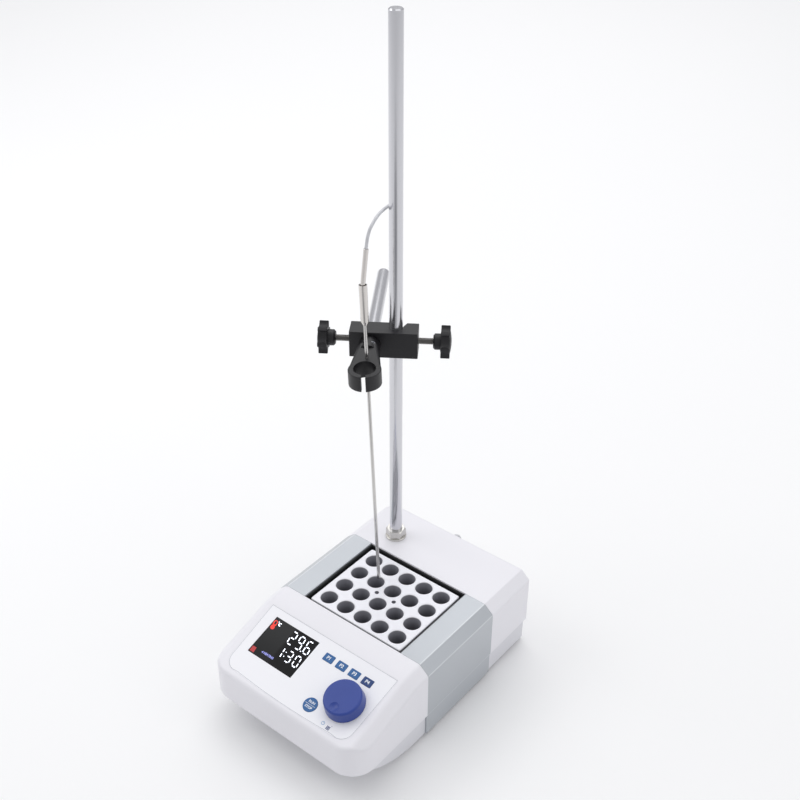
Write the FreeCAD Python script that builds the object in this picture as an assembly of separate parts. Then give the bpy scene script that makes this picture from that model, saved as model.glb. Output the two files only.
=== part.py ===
import FreeCAD, Part
import math
import os

from FreeCAD import Placement, Rotation, Vector

# Sample incubator: a dry block heater for sample tubes, with a sloping control panel,
# a support rod, a clamp head with two star knobs and an outside temperature probe.
# X points to the right of somebody who reads the panel, Y to the back, Z up.
# All sizes are in millimetres. The bench is z = 0.

# Tube block
tube_columns = 5
tube_rows = 4
tube_pitch_x = 20.2
tube_pitch_y = 21.5
tube_bore = 16.2
tube_depth = 48.0
tube_rim = 0.6
block_margin_x = 12.6
block_margin_y = 12.1
block_height = 55.0
block_corner = 2.0
lift_thread = 4.2
lift_depth = 14.0
block_sink = 3.0
well_gap = 3.8
liner_wall = 1.4
liner_sink = 1.6
seal_height = 4.0
seal_sink = 5.0
seal_clearance = 0.4

# Heater under the block
heater_thickness = 4.0
heater_inset = 1.0
insulation_thickness = 8.0

# Housing
housing_top = 86.0
lip_height = 28.5
half_width = 88.0
shoulder_run = 9.6
shoulder_drop = 8.4
wall = 2.5
seam_gap = 0.2
front_y = -145.0
back_y = 111.5
crease_y = -63.15
crease_blend = 60.0
panel_slope = math.radians(17.2)
nose_radius = 5.5
front_corner = 24.0
inner_ridge = 6.0
outer_ridge = 4.0
corner_edge = 4.0
back_round = 5.0
back_ridge = 2.5
panel_edge = 0.7
panel_flange = 12.0
skirt_step = 1.0
skirt_edge = 0.6

# Base tray and feet
foot_height = 4.0
foot_radius = 8.0
foot_stem = 5.0
foot_inset = 18.0
front_foot_y = -50.0
back_foot_y = 92.0
tray_wall = 2.2
tray_gap = 0.2
tray_top = 36.0
chin_start_y = -58.0
chin_radius = 109.4
pillar_radius = 4.0
pillar_inset = 12.0
screw_thread = 3.0
screw_head = 5.6
seat_height = 10.0
chin_seat_height = 22.0
screw_head_height = 1.8

# Control panel, measured down the slope from the upper edge of the printed skin
skin_start = 9.45
skin_length = 71.4
skin_bow = 2.3
skin_top_half = 73.8
skin_low_half = 71.6
skin_thickness = 0.5
skin_corner = 12.0
skin_top_corner = 1.5
skin_gap = 0.1
display_width = 52.0
display_length = 40.4
display_x = -35.5
display_top = 8.0
display_thickness = 1.2
display_ledge = 1.5
key_width = 10.6
key_length = 7.4
key_pitch = 14.65
first_key_x = 7.9
key_down = 15.3
key_proud = 0.35
key_travel = 0.3
key_flange = 0.8
key_gap = 0.15
run_key_diameter = 13.4
run_key_x = 22.8
run_key_down = 58.3
knob_x = 48.0
knob_down = 41.0
knob_radius = 18.2
knob_height = 11.0
knob_taper = 1.2
knob_lift = 0.8
knob_travel = 0.5
dimple_radius = 4.4
dimple_reach = 11.0
shaft_diameter = 6.0
shaft_clearance = 0.05
bush_diameter = 9.0
board_depth = 11.0
board_thickness = 1.6
board_width = 140.0
board_length = 62.0
encoder_size = 14.0
encoder_height = 6.8
switch_size = 6.0
switch_height = 5.0

# Support rod and its nut
rod_diameter = 12.0
rod_x = -45.7
rod_y = 72.0
rod_top = 595.0
rod_socket_depth = 30.0
rod_socket_wall = 4.5
rod_chamfer = 1.0
nut_across = 17.0
nut_height = 8.0
nut_flange = 10.2
nut_flange_height = 2.0

# Clamp head, in a frame on the rod axis that is turned about it
clamp_turn = 34.5
clamp_z = 309.0
boss_left = 40.3
boss_right = 19.8
boss_front = 10.8
boss_back = 8.8
boss_half_height = 12.5
boss_edge = 0.6
rod_clearance = 0.05
slot_notch = 4.0
arm_x = -22.0
arm_diameter = 12.0
arm_clearance = 0.05
arm_back = 125.0
arm_in_holder = 16.0
screw_diameter = 6.0
screw_clearance = 0.05
star_radius = 14.6
star_waist = 10.3
star_thickness = 8.2
star_lobes = 6
star_hub_radius = 7.2
left_hub_start = 53.2
right_hub_start = 32.8
hub_length = 6.6
star_dome = 1.3

# Probe holder: a slit ring on a neck at the front end of the arm
holder_roll = 1.9
hub_radius = 9.5
holder_gap = 0.5
ring_centre = 43.8
ring_outer = 14.3
ring_bore = 9.65
ring_top = 3.0
ring_bottom = 11.6
ring_slit = 3.8
neck_back = 16.0
grub_diameter = 4.0
grub_reach = 8.5
grub_length = 3.0
grub_angle = 28.0

# Probe: a leaning steel tube with a handle and a crimped sleeve
probe_diameter = 3.0
probe_clearance = 0.05
probe_tip_z = 83.6
probe_foot = (-20.3, 15.2)
probe_at_neck = (-40.5, 26.5, 312.0)
handle_start = 263.0
handle_length = 36.0
handle_low_radius = 3.4
handle_top_radius = 3.7
handle_wall = 0.8
handle_mouth = 6.0
handle_taper = 3.0
sleeve_radius = 2.15
sleeve_length = 31.2
sleeve_lean = (0.0, 0.152, 0.988)

# Probe cable, plug and the socket on the back
cable_diameter = 2.8
socket_x = -28.0
socket_z = 47.0
socket_flange = 8.5
socket_flange_thickness = 2.0
socket_depth = 14.0
plug_radius = 6.5
plug_length = 14.0
plug_ribs = 3
relief_length = 6.0

# Mains inlet, rocker switch and vents on the back
inlet_x = 52.0
inlet_z = 54.0
inlet_width = 30.0
inlet_height = 26.0
inlet_depth = 22.0
inlet_flange = 2.0
inlet_recess = 15.0
rocker_x = 14.0
rocker_z = 54.0
rocker_width = 15.0
rocker_height = 21.0
rocker_rim = 1.5
rocker_flange = 1.6
rocker_depth = 16.0
rocker_wall = 1.5
rocker_gap = 0.3
rocker_sink = 1.5
rocker_reach = 8.0
rocker_pin = 1.0
rocker_tilt = 8.0
wall_play = 0.6
vent_width = 2.4
vent_height = 26.0
vent_pitch = 5.2
vent_count = 6
vent_x = -70.0
vent_z = 54.0

# Power supply inside the back housing
supply_width = 96.0
supply_depth = 38.0
supply_x = 21.0
supply_y = 68.0
supply_stand = 6.0

# Sizes that follow from those above
block_width = (tube_columns - 1) * tube_pitch_x + 2 * block_margin_x
block_depth = (tube_rows - 1) * tube_pitch_y + 2 * block_margin_y
block_top = housing_top - block_sink
block_base = block_top - block_height
well_half_x = block_width / 2 + well_gap
well_half_y = block_depth / 2 + well_gap
front_seam = -well_half_y
back_seam = well_half_y
tray_half = half_width - wall - tray_gap
tray_floor = foot_height + tray_wall
heater_base = block_base - heater_thickness
insulation_base = heater_base - insulation_thickness
board_top = -board_depth
through = 400.0

cable_route = [
    (-46.1, 34.65, 412.6),
    (-46.0, 36.6, 424.5),
    (-47.0, 45.0, 431.5),
    (-52.3, 60.4, 433.4),
    (-57.4, 84.4, 432.2),
    (-64.6, 95.8, 423.5),
    (-69.4, 101.3, 402.0),
    (-71.6, 103.8, 352.0),
    (-73.5, 106.9, 296.0),
    (-76.7, 109.8, 240.0),
    (-79.5, 114.2, 184.0),
    (-83.6, 118.5, 130.0),
    (-87.0, 123.6, 84.0),
    (-89.4, 129.5, 46.0),
    (-86.5, 139.0, 14.0),
    (-77.0, 150.0, 2.2),
    (-60.0, 158.0, 1.8),
    (-44.0, 160.0, 3.2),
    (-33.0, 159.0, 10.5),
    (-28.0, 158.2, 21.3),
    (-28.0, 158.2, 33.3),
    (-28.0, 153.2, 42.0),
    (-28.0, 144.5, 47.0),
    (-28.0, 133.5, 47.0),
]
cable_splits = [2, 4, 6, 10]

nodes = {}


def box(x0, x1, y0, y1, z0, z1):
    return Part.makeBox(x1 - x0, y1 - y0, z1 - z0, Vector(x0, y0, z0))


def middle_box(x, y, width, depth, z0, z1):
    return box(x - width / 2, x + width / 2, y - depth / 2, y + depth / 2, z0, z1)


def rod(radius, start, end):
    start, end = Vector(*start), Vector(*end)
    return Part.makeCylinder(radius, (end - start).Length, start, end - start)


def rounded(shape, radius, wanted):
    edges = [edge for edge in shape.Edges if wanted(edge)]
    return shape.makeFillet(radius, edges)


def upright(edge):
    size = edge.BoundBox
    return size.XLength < 0.01 and size.YLength < 0.01 and size.ZLength > 0.01


def at_height(z):
    return lambda edge: abs(edge.BoundBox.ZMin - z) < 0.01 and abs(edge.BoundBox.ZMax - z) < 0.01


def rounded_box(x, y, width, depth, z0, z1, radius):
    return rounded(middle_box(x, y, width, depth, z0, z1), radius, upright)


def outline(points, closed=True):
    ends = points[1:] + points[:1] if closed else points[1:]
    return Part.Wire([Part.makeLine(a, b) for a, b in zip(points, ends)])


def moved(shape, placement):
    copy = shape.copy()
    copy.Placement = placement.multiply(copy.Placement)
    return copy


# Housing shapes


def shoulder(inset):
    """Half width of the level top, and how far the outer ridge lies below it, for a wall set in."""
    slant = math.hypot(shoulder_run, shoulder_drop)
    across = half_width - shoulder_run - inset * (slant - shoulder_run) / shoulder_drop
    down = shoulder_drop * (half_width - inset - across) / shoulder_run
    return across, down


def section(inset, low):
    """Cross-section of the middle and the back: level top, sloping shoulders, upright sides."""
    across, down = shoulder(inset)
    side = half_width - inset
    top = housing_top - inset
    return [
        Vector(-side, 0, low),
        Vector(-side, 0, top - down),
        Vector(-across, 0, top),
        Vector(across, 0, top),
        Vector(side, 0, top - down),
        Vector(side, 0, low),
    ]


def side_profile(x, drop, inset, low, back):
    """Side view of the front housing: level top, bend, sloping panel, rounded nose, front."""
    half = panel_slope / 2
    top = housing_top - inset - drop
    bend_y = crease_y + inset * math.tan(half)
    front = front_y + inset
    nose = nose_radius - min(inset, nose_radius - 1)
    edge_z = top - (bend_y - front) * math.tan(panel_slope)
    bend = crease_blend * math.tan(half)
    turn = math.pi / 4 - half
    run = nose * math.tan(turn)
    along = Vector(0, -math.cos(panel_slope), -math.sin(panel_slope))
    crest = Vector(x, bend_y, top)
    edge = Vector(x, front, edge_z)
    bend_start = crest + Vector(0, bend, 0)
    sag = crease_blend * (1 - math.cos(half))
    bend_middle = bend_start + Vector(0, -crease_blend * math.sin(half), -sag)
    bend_end = crest + along * bend
    nose_start = edge - along * run
    nose_end = edge - Vector(0, 0, run)
    nose_middle = nose_end + Vector(0, nose * (1 - math.cos(turn)), nose * math.sin(turn))
    return Part.Wire(
        [
            Part.makeLine(Vector(x, back, top), bend_start),
            Part.Arc(bend_start, bend_middle, bend_end).toShape(),
            Part.makeLine(bend_end, nose_start),
            Part.Arc(nose_start, nose_middle, nose_end).toShape(),
            Part.makeLine(nose_end, Vector(x, front, low)),
            Part.makeLine(Vector(x, front, low), Vector(x, back, low)),
            Part.makeLine(Vector(x, back, low), Vector(x, back, top)),
        ]
    )


def plan(half, front, back, front_radius, back_radius, z0, z1):
    """Upright prism with rounded corners, as the housing is seen from above."""
    shape = box(-half, half, front, back, z0, z1)
    if front_radius:
        shape = rounded(shape, front_radius, lambda e: upright(e) and e.BoundBox.YMax < front + 0.01)
    if back_radius:
        shape = rounded(shape, back_radius, lambda e: upright(e) and e.BoundBox.YMin > back - 0.01)
    return shape


def front_form(inset, low, back):
    across, down = shoulder(inset)
    side = half_width - inset
    form = Part.Face(side_profile(-across, 0, inset, low, back)).extrude(Vector(2 * across, 0, 0))
    flanks = []
    for sign in (-1, 1):
        upper = side_profile(sign * across, 0, inset, low, back)
        lower = side_profile(sign * side, down, inset, low, back)
        flanks.append(Part.makeLoft([upper, lower], True, True))
    return form.fuse(flanks).removeSplitter()


def on_ridge(x, low):
    def wanted(edge):
        size = edge.BoundBox
        flat = size.XLength < 0.01 and abs(abs(size.XMax) - x) < 0.01
        return flat and size.YLength > 0.1 and size.ZMin > low + 5 and size.ZLength < 50

    return wanted


def on_front_corner(edge):
    """Edges where the rounded upright corners meet the panel, nose and shoulders."""
    size = edge.BoundBox
    if size.XLength < 0.1 or size.YLength < 0.1 or size.ZMin < lip_height + 5:
        return False
    centre_x = half_width - front_corner
    centre_y = front_y + front_corner
    for share in (0.1, 0.5, 0.9):
        point = edge.valueAt(edge.FirstParameter + share * (edge.LastParameter - edge.FirstParameter))
        away = math.hypot(abs(point.x) - centre_x, point.y - centre_y)
        if abs(away - front_corner) > 0.02:
            return False
    return True


# Panel frame: x to the right, y up the slope, z out of the panel, from the skin's upper edge
panel_y = crease_y - skin_start * math.cos(panel_slope)
panel_z = housing_top - skin_start * math.sin(panel_slope)
panel = Placement(Vector(0, panel_y, panel_z), Rotation(Vector(1, 0, 0), math.degrees(panel_slope)))


def skin_shape(grow, z0, z1):
    """The printed skin: straight top, sides that close in a little, bowed lower edge."""
    top, low = skin_top_half + grow, skin_low_half + grow
    down = -(skin_length - skin_bow) - grow
    corners = [Vector(-top, grow, z0), Vector(-low, down, z0), Vector(low, down, z0), Vector(top, grow, z0)]
    bow = Part.Arc(corners[1], Vector(0, down - skin_bow, z0), corners[2]).toShape()
    edges = [Part.makeLine(corners[0], corners[1]), bow]
    edges += [Part.makeLine(corners[2], corners[3]), Part.makeLine(corners[3], corners[0])]
    shape = Part.Face(Part.Wire(edges)).extrude(Vector(0, 0, z1 - z0))
    shape = rounded(shape, skin_corner, lambda e: upright(e) and e.BoundBox.YMax < down / 2)
    return rounded(shape, skin_top_corner, lambda e: upright(e) and e.BoundBox.YMin > down / 2)


def display_box(grow, z0, z1):
    y = -(display_top + display_length / 2)
    return middle_box(display_x, y, display_width + 2 * grow, display_length + 2 * grow, z0, z1)


def key_box(x, grow, z0, z1, radius):
    return rounded_box(x, -key_down, key_width + 2 * grow, key_length + 2 * grow, z0, z1, radius)


def run_disc(grow, z0, z1):
    start = (run_key_x, -run_key_down, z0)
    return rod(run_key_diameter / 2 + grow, start, (run_key_x, -run_key_down, z1))


key_places = [first_key_x + i * key_pitch for i in range(4)]
flange_grow = 0.7
pocket_gap = 0.3
pocket_floor = -(skin_thickness + key_flange + key_travel + 0.2)
stem_radius = 1.8
stem_gap = 0.3
stem_end = board_top + switch_height + key_travel + 0.1


def stem_at(x, down, radius, z0, z1):
    return rod(radius, (x, -down, z0), (x, -down, z1))


board_posts = [(sx * (board_width / 2 - 5), y) for sx in (-1, 1) for y in (-6.0, -board_length + 2.0)]


def make_front_housing():
    low = lip_height
    form = front_form(0, low, front_seam)
    across, down = shoulder(0)
    form = rounded(form, inner_ridge, on_ridge(across, low))
    form = rounded(form, outer_ridge, on_ridge(half_width, low))
    form = form.common(plan(half_width, front_y, front_seam, front_corner, 0, 0, through)).removeSplitter()
    form = rounded(form, corner_edge, on_front_corner)
    inner = front_form(wall, low - 1, front_seam + 1)
    inner_plan = plan(half_width - wall, front_y + wall, front_seam + 1, front_corner - wall, 0, 0, through)
    inner = inner.common(inner_plan).removeSplitter()
    shell = form.cut(inner)
    # the printed skin lies in a shallow recess, with a ledge for the window below it
    cuts = [skin_shape(skin_gap, -skin_thickness, 5.0)]
    cuts.append(display_box(skin_gap, -display_thickness, 5.0))
    cuts.append(display_box(-display_ledge, -wall - 3, 5.0))
    for x in key_places:
        cuts.append(key_box(x, flange_grow + pocket_gap, pocket_floor, 5.0, 1.0))
        cuts.append(stem_at(x, key_down, stem_radius + stem_gap, -wall - 3, 5.0))
    cuts.append(run_disc(flange_grow + pocket_gap, pocket_floor, 5.0))
    cuts.append(stem_at(run_key_x, run_key_down, stem_radius + stem_gap, -wall - 3, 5.0))
    cuts.append(stem_at(knob_x, knob_down, bush_diameter / 2 + skin_gap, -wall - 3, 5.0))
    posts = []
    for x, y in board_posts:
        post = rod(3.0, (x, y, board_top), (x, y, -wall + 0.3))
        posts.append(post.cut(rod(screw_thread / 2, (x, y, board_top - 1), (x, y, board_top + 6))))
    shell = shell.fuse([moved(post, panel) for post in posts])
    shell = shell.cut([moved(cut, panel) for cut in cuts])
    # pillars that take the screws from the base tray end inside the wall
    core = front_form(wall / 2, low, front_seam)
    pillars = [housing_pillar(x, y, housing_top).common(core) for x, y in front_pillars]
    nodes["front_housing"] = shell.fuse(pillars).removeSplitter()


def housing_pillar(x, y, top):
    pillar = rod(pillar_radius, (x, y, tray_top), (x, y, top))
    return pillar.cut(rod(screw_thread / 2, (x, y, tray_top - 1), (x, y, tray_top + 12)))


pillar_x = half_width - pillar_inset
front_pillars = [(sx * pillar_x, y) for sx in (-1, 1) for y in (-116.0, -60.0)]
back_pillars = [(sx * pillar_x, y) for sx in (-1, 1) for y in (57.0, 98.0)]


def make_back_housing():
    start = back_seam
    form = Part.Face(outline(section(0, lip_height))).extrude(Vector(0, back_y - start, 0))
    form.translate(Vector(0, start, 0))

    def long_ridge(edge):
        size = edge.BoundBox
        return size.YLength > 10 and size.XLength < 0.01 and size.ZMin > lip_height + 1

    def back_edge(edge):
        return edge.BoundBox.YMin > back_y - 0.01 and edge.BoundBox.ZMax > lip_height + 0.01

    form = rounded(form, back_ridge, long_ridge)
    form = rounded(form, back_round, back_edge)
    depth = back_y - start - wall + 1
    inner = Part.Face(outline(section(wall, lip_height - 1))).extrude(Vector(0, depth, 0))
    inner.translate(Vector(0, start - 1, 0))
    inner = rounded(
        inner,
        back_round - wall,
        lambda e: e.BoundBox.YMin > back_y - wall - 0.01 and e.BoundBox.ZMax > lip_height,
    )
    shell = form.cut(inner)
    bush = rod_socket_outer()
    cuts = [bush, rod(rod_diameter / 2 + rod_clearance, (rod_x, rod_y, 40), (rod_x, rod_y, through))]
    half = inlet_height / 2 - 2
    cuts.append(middle_box(inlet_x, back_y, inlet_width - 4, 12, inlet_z - half, inlet_z + half))
    half = rocker_height / 2 - 0.5
    cuts.append(middle_box(rocker_x, back_y, rocker_width - 1, 12, rocker_z - half, rocker_z + half))
    cuts.append(rod(plug_radius, (socket_x, back_y - 6, socket_z), (socket_x, back_y + 6, socket_z)))
    for i in range(vent_count):
        x = vent_x + i * vent_pitch
        slot = middle_box(x, back_y, vent_width, 12, vent_z - vent_height / 2, vent_z + vent_height / 2)
        cuts.append(rounded(slot, vent_width / 2 - 0.05, along_depth))
    core = Part.Face(outline(section(wall / 2, lip_height))).extrude(Vector(0, through, 0))
    pillars = [housing_pillar(x, y, housing_top).common(core) for x, y in back_pillars]
    nodes["back_housing"] = shell.cut(cuts).fuse(pillars).removeSplitter()


def rod_socket_outer():
    top = housing_top - wall
    radius = rod_diameter / 2 + rod_socket_wall
    return rod(radius, (rod_x, rod_y, top - rod_socket_depth), (rod_x, rod_y, top))


def make_side_panels():
    """Bright metal covers beside the well, each one bent sheet with a flange down into the well."""
    length = back_seam - front_seam - 2 * seam_gap
    outer = Part.Face(outline(section(0, lip_height))).extrude(Vector(0, length, 0))
    outer.translate(Vector(0, front_seam + seam_gap, 0))
    inner = Part.Face(outline(section(wall, lip_height - 1))).extrude(Vector(0, through, 0))
    inner.translate(Vector(0, -through / 2, 0))
    flange = well_half_x + wall
    for side, sign in (("left", -1), ("right", 1)):
        half = box(0, through, -through, through, 0, through)
        flange_box = box(
            well_half_x,
            flange,
            front_seam + seam_gap,
            back_seam - seam_gap,
            housing_top - panel_flange,
            housing_top,
        )
        if sign < 0:
            half = half.mirror(Vector(0, 0, 0), Vector(1, 0, 0))
            flange_box = flange_box.mirror(Vector(0, 0, 0), Vector(1, 0, 0))
        # a skirt set in by one step goes down beside the base tray
        skirt = box(
            half_width - wall,
            half_width - skirt_step,
            front_seam + seam_gap,
            back_seam - seam_gap,
            foot_height,
            lip_height + 1,
        )
        low_edges = [e for e in skirt.Edges if at_height(foot_height)(e)]
        low_outside = [e for e in low_edges if e.BoundBox.XMin > half_width - wall + 0.1]
        skirt = skirt.makeFillet(skirt_edge, low_outside)
        if sign < 0:
            skirt = skirt.mirror(Vector(0, 0, 0), Vector(1, 0, 0))
        sheet = outer.cut(inner).common(half).fuse([flange_box, skirt])
        sheet = sheet.cut(box(-well_half_x, well_half_x, -through, through, 0, through)).removeSplitter()

        def ridge(edge):
            size = edge.BoundBox
            if size.YLength < 20 or size.ZMin < lip_height + 5:
                return False
            across, down = shoulder(0)
            x, z = abs(size.XMax + size.XMin) / 2, size.ZMax
            at_top = abs(z - housing_top) < 0.01
            at_side = abs(x - half_width) < 0.01
            return at_top or at_side

        nodes[side + "_side_panel"] = rounded(sheet, panel_edge, ridge)


def make_tray():
    """Base tray: a tub whose floor sweeps up towards the front."""
    back = back_y - wall - tray_gap
    front = front_y + wall + tray_gap
    centre_z = foot_height + chin_radius
    angle = math.acos((centre_z - lip_height) / chin_radius)
    flat_z = lip_height + 1.0

    def tub(inset, top):
        radius = chin_radius - inset
        rise = flat_z + inset
        end = Vector(0, chin_start_y - radius * math.sin(angle), centre_z - radius * math.cos(angle))
        turn = angle / 2
        half = Vector(0, chin_start_y - radius * math.sin(turn), centre_z - radius * math.cos(turn))
        low = Vector(0, chin_start_y, foot_height + inset)
        step = Vector(0, end.y - (rise - end.z), rise)
        points = [step, Vector(0, front + inset, rise), Vector(0, front + inset, top)]
        points += [Vector(0, back - inset, top), Vector(0, back - inset, foot_height + inset), low]
        edges = [Part.Arc(low, half, end).toShape(), Part.makeLine(end, step)]
        edges += [Part.makeLine(a, b) for a, b in zip(points, points[1:])]
        side = tray_half - inset
        face = Part.Face(Part.Wire(edges))
        solid = face.extrude(Vector(2 * side, 0, 0))
        solid.translate(Vector(-side, 0, 0))
        corner = front_corner - wall - tray_gap - inset
        rear = back_round - wall - tray_gap - min(inset, 2.0)
        return solid.common(plan(side, front + inset, back - inset, corner, rear, -1, through))

    shell = tub(0, tray_top).cut(tub(tray_wall, tray_top + 1))
    posts = []
    for x, y in front_pillars + back_pillars:
        posts.append(rod(pillar_radius, (x, y, foot_height), (x, y, tray_top)).common(tub(0, tray_top)))
    for x, y in insulation_posts:
        posts.append(rod(pillar_radius, (x, y, foot_height), (x, y, insulation_base)))
    for x, y in supply_posts:
        posts.append(rod(pillar_radius - 1, (x, y, foot_height), (x, y, tray_floor + supply_stand)))
    shell = shell.fuse(posts)
    holes = []
    for x, y in front_pillars + back_pillars:
        holes.append(rod(screw_thread / 2, (x, y, -1), (x, y, tray_top + 1)))
        holes.append(rod(screw_head / 2, (x, y, -1), (x, y, screw_seat(y))))
    for x, y in feet:
        holes.append(rod(foot_stem / 2, (x, y, -1), (x, y, tray_floor + 1)))
    nodes["base_tray"] = shell.cut(holes).removeSplitter()


def screw_seat(y):
    return tray_floor + (seat_height if y > chin_start_y else chin_seat_height)


insulation_posts = [(sx * 42.0, sy * 34.0) for sx in (-1, 1) for sy in (-1, 1)]
supply_posts = [
    (supply_x + sx * (supply_width / 2 - 5), supply_y + sy * (supply_depth / 2 - 5))
    for sx in (-1, 1)
    for sy in (-1, 1)
]
feet = [(sx * (half_width - foot_inset), y) for sx in (-1, 1) for y in (front_foot_y, back_foot_y)]


def make_feet_and_screws():
    rubber = []
    for x, y in feet:
        pad = Part.makeCone(foot_radius - 1, foot_radius, foot_height, Vector(x, y, 0))
        pad = rounded(pad, 0.8, at_height(0))
        rubber.append(pad.fuse(rod(foot_stem / 2, (x, y, foot_height), (x, y, tray_floor + 1))))
    nodes["rubber_feet"] = Part.makeCompound(rubber)
    screws = []
    for x, y in front_pillars + back_pillars:
        seat = screw_seat(y)
        head = rod(screw_head / 2, (x, y, seat - screw_head_height), (x, y, seat))
        screws.append(head.fuse(rod(screw_thread / 2, (x, y, seat), (x, y, tray_top + 10))))
    nodes["tray_screws"] = Part.makeCompound(screws)


# Well, block and heater


def make_well():
    outer_x, outer_y = well_half_x, well_half_y
    top = housing_top - liner_sink
    foot = 6.0
    liner = middle_box(0, 0, 2 * outer_x, 2 * outer_y, insulation_base, top)
    inner_x, inner_y = outer_x - liner_wall, outer_y - liner_wall
    inner = middle_box(0, 0, 2 * inner_x, 2 * inner_y, insulation_base + liner_wall, top + 1)
    window = middle_box(0, 0, 2 * (outer_x - foot), 2 * (outer_y - foot), insulation_base - 1, top)
    nodes["well_liner"] = liner.cut([inner, window])
    seal_z = block_top - seal_sink
    seal = middle_box(0, 0, 2 * inner_x, 2 * inner_y, seal_z - seal_height, seal_z)
    hole = rounded_box(
        0, 0, block_width + 2 * seal_clearance, block_depth + 2 * seal_clearance, 0, through, block_corner
    )
    nodes["well_seal"] = seal.cut(hole)
    half_x = outer_x - liner_wall - 0.2
    half_y = outer_y - liner_wall - 0.2
    base = insulation_base + liner_wall
    insulation = middle_box(0, 0, 2 * half_x, 2 * half_y, base, block_base + 12)
    pocket = rounded_box(0, 0, block_width + 1.0, block_depth + 1.0, heater_base, through, block_corner)
    under = middle_box(0, 0, 2 * (outer_x - foot), 2 * (outer_y - foot), insulation_base, base)
    nodes["heater_insulation"] = insulation.cut(pocket).fuse(under).removeSplitter()


def tube_places():
    for row in range(tube_rows):
        for column in range(tube_columns):
            x = (column - (tube_columns - 1) / 2) * tube_pitch_x
            y = (row - (tube_rows - 1) / 2) * tube_pitch_y
            yield column, row, x, y


def make_block():
    """The block is bored right through, and a plate of the same outline closes the bores below."""
    split_z = block_top - tube_depth
    plate = rounded_box(0, 0, block_width, block_depth, block_base, split_z, block_corner)
    nodes["block_base"] = plate
    block = rounded_box(0, 0, block_width, block_depth, split_z, block_top, block_corner)
    block = block.makeChamfer(0.6, [edge for edge in block.Edges if at_height(block_top)(edge)])
    tools = []
    for column, row, x, y in tube_places():
        tools.append(rod(tube_bore / 2, (x, y, split_z - 1), (x, y, block_top + 1)))
        rim = tube_bore / 2 + tube_rim
        tools.append(Part.makeCone(tube_bore / 2, rim, tube_rim, Vector(x, y, block_top - tube_rim)))
    for sign in (-1, 1):
        x = sign * tube_pitch_x / 2
        tools.append(rod(lift_thread / 2, (x, 0, block_top - lift_depth), (x, 0, block_top + 1)))
    nodes["tube_block"] = block.cut(tools)
    half_x = block_width / 2 - heater_inset
    half_y = block_depth / 2 - heater_inset
    nodes["heater_plate"] = middle_box(0, 0, 2 * half_x, 2 * half_y, heater_base, block_base)


# Control panel


def make_panel():
    skin = skin_shape(0, -skin_thickness, 0)
    cuts = [display_box(skin_gap, -1, 1)]
    cuts += [key_box(x, key_gap, -1, 1, 1.0) for x in key_places]
    cuts.append(run_disc(key_gap, -1, 1))
    cuts.append(stem_at(knob_x, knob_down, bush_diameter / 2 + skin_gap, -1, 1))
    nodes["panel_skin"] = moved(skin.cut(cuts), panel)
    nodes["display_window"] = moved(display_box(0, -display_thickness, 0), panel)
    module = display_box(-display_ledge - 0.3, board_top, -display_thickness)
    nodes["display_module"] = moved(module, panel)
    for number, x in enumerate(key_places, 1):
        cap = key_box(x, 0, -skin_thickness, key_proud, 0.9)
        cap = rounded(cap, 0.2, at_height(key_proud))
        flange = key_box(x, flange_grow, -skin_thickness - key_flange, -skin_thickness, 0.9)
        stem = stem_at(x, key_down, stem_radius, stem_end, -skin_thickness - key_flange)
        nodes["program_key_%d" % number] = moved(cap.fuse([flange, stem]).removeSplitter(), panel)
    cap = rounded(run_disc(0, -skin_thickness, key_proud), 0.25, at_height(key_proud))
    groove = middle_box(run_key_x, -run_key_down, run_key_diameter - 2.0, 0.4, key_proud - 0.12, 1)
    flange = run_disc(flange_grow, -skin_thickness - key_flange, -skin_thickness)
    stem = stem_at(run_key_x, run_key_down, stem_radius, stem_end, -skin_thickness - key_flange)
    nodes["run_stop_key"] = moved(cap.cut(groove).fuse([flange, stem]).removeSplitter(), panel)


def make_knob():
    base, top = knob_lift, knob_lift + knob_height
    centre = Vector(knob_x, -knob_down, base)
    body = Part.makeCone(knob_radius, knob_radius - knob_taper, knob_height, centre)
    body = rounded(body, 2.2, at_height(top))
    ball_radius = 9.0
    ball_rise = math.sqrt(ball_radius**2 - dimple_radius**2)
    place = Vector(knob_x, -knob_down - dimple_reach, top + ball_rise)
    dimple = Part.makeSphere(ball_radius, place)
    body = body.cut(dimple)
    shaft_top = top - 3.0
    socket = stem_at(knob_x, knob_down, shaft_diameter / 2 + shaft_clearance, base - 1, shaft_top)
    relief = stem_at(knob_x, knob_down, bush_diameter / 2 + 1.0, base - 1, base + 3.0)
    nodes["control_knob"] = moved(body.cut([socket, relief]), panel)
    bush_top = 0.2
    bush_low = board_top + encoder_height
    foot = bush_low - 1.0
    shaft = rod(shaft_diameter / 2, (knob_x, -knob_down, foot), (knob_x, -knob_down, shaft_top - 0.2))
    nodes["encoder_shaft"] = moved(shaft, panel)
    body = middle_box(knob_x, -knob_down, encoder_size, encoder_size, board_top, bush_low)
    bush = rod(bush_diameter / 2, (knob_x, -knob_down, bush_low), (knob_x, -knob_down, bush_top))
    bore = rod(
        shaft_diameter / 2 + shaft_clearance,
        (knob_x, -knob_down, foot - knob_travel - 0.3),
        (knob_x, -knob_down, bush_top + 1),
    )
    nodes["rotary_encoder"] = moved(body.fuse(bush).cut(bore), panel)


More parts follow.
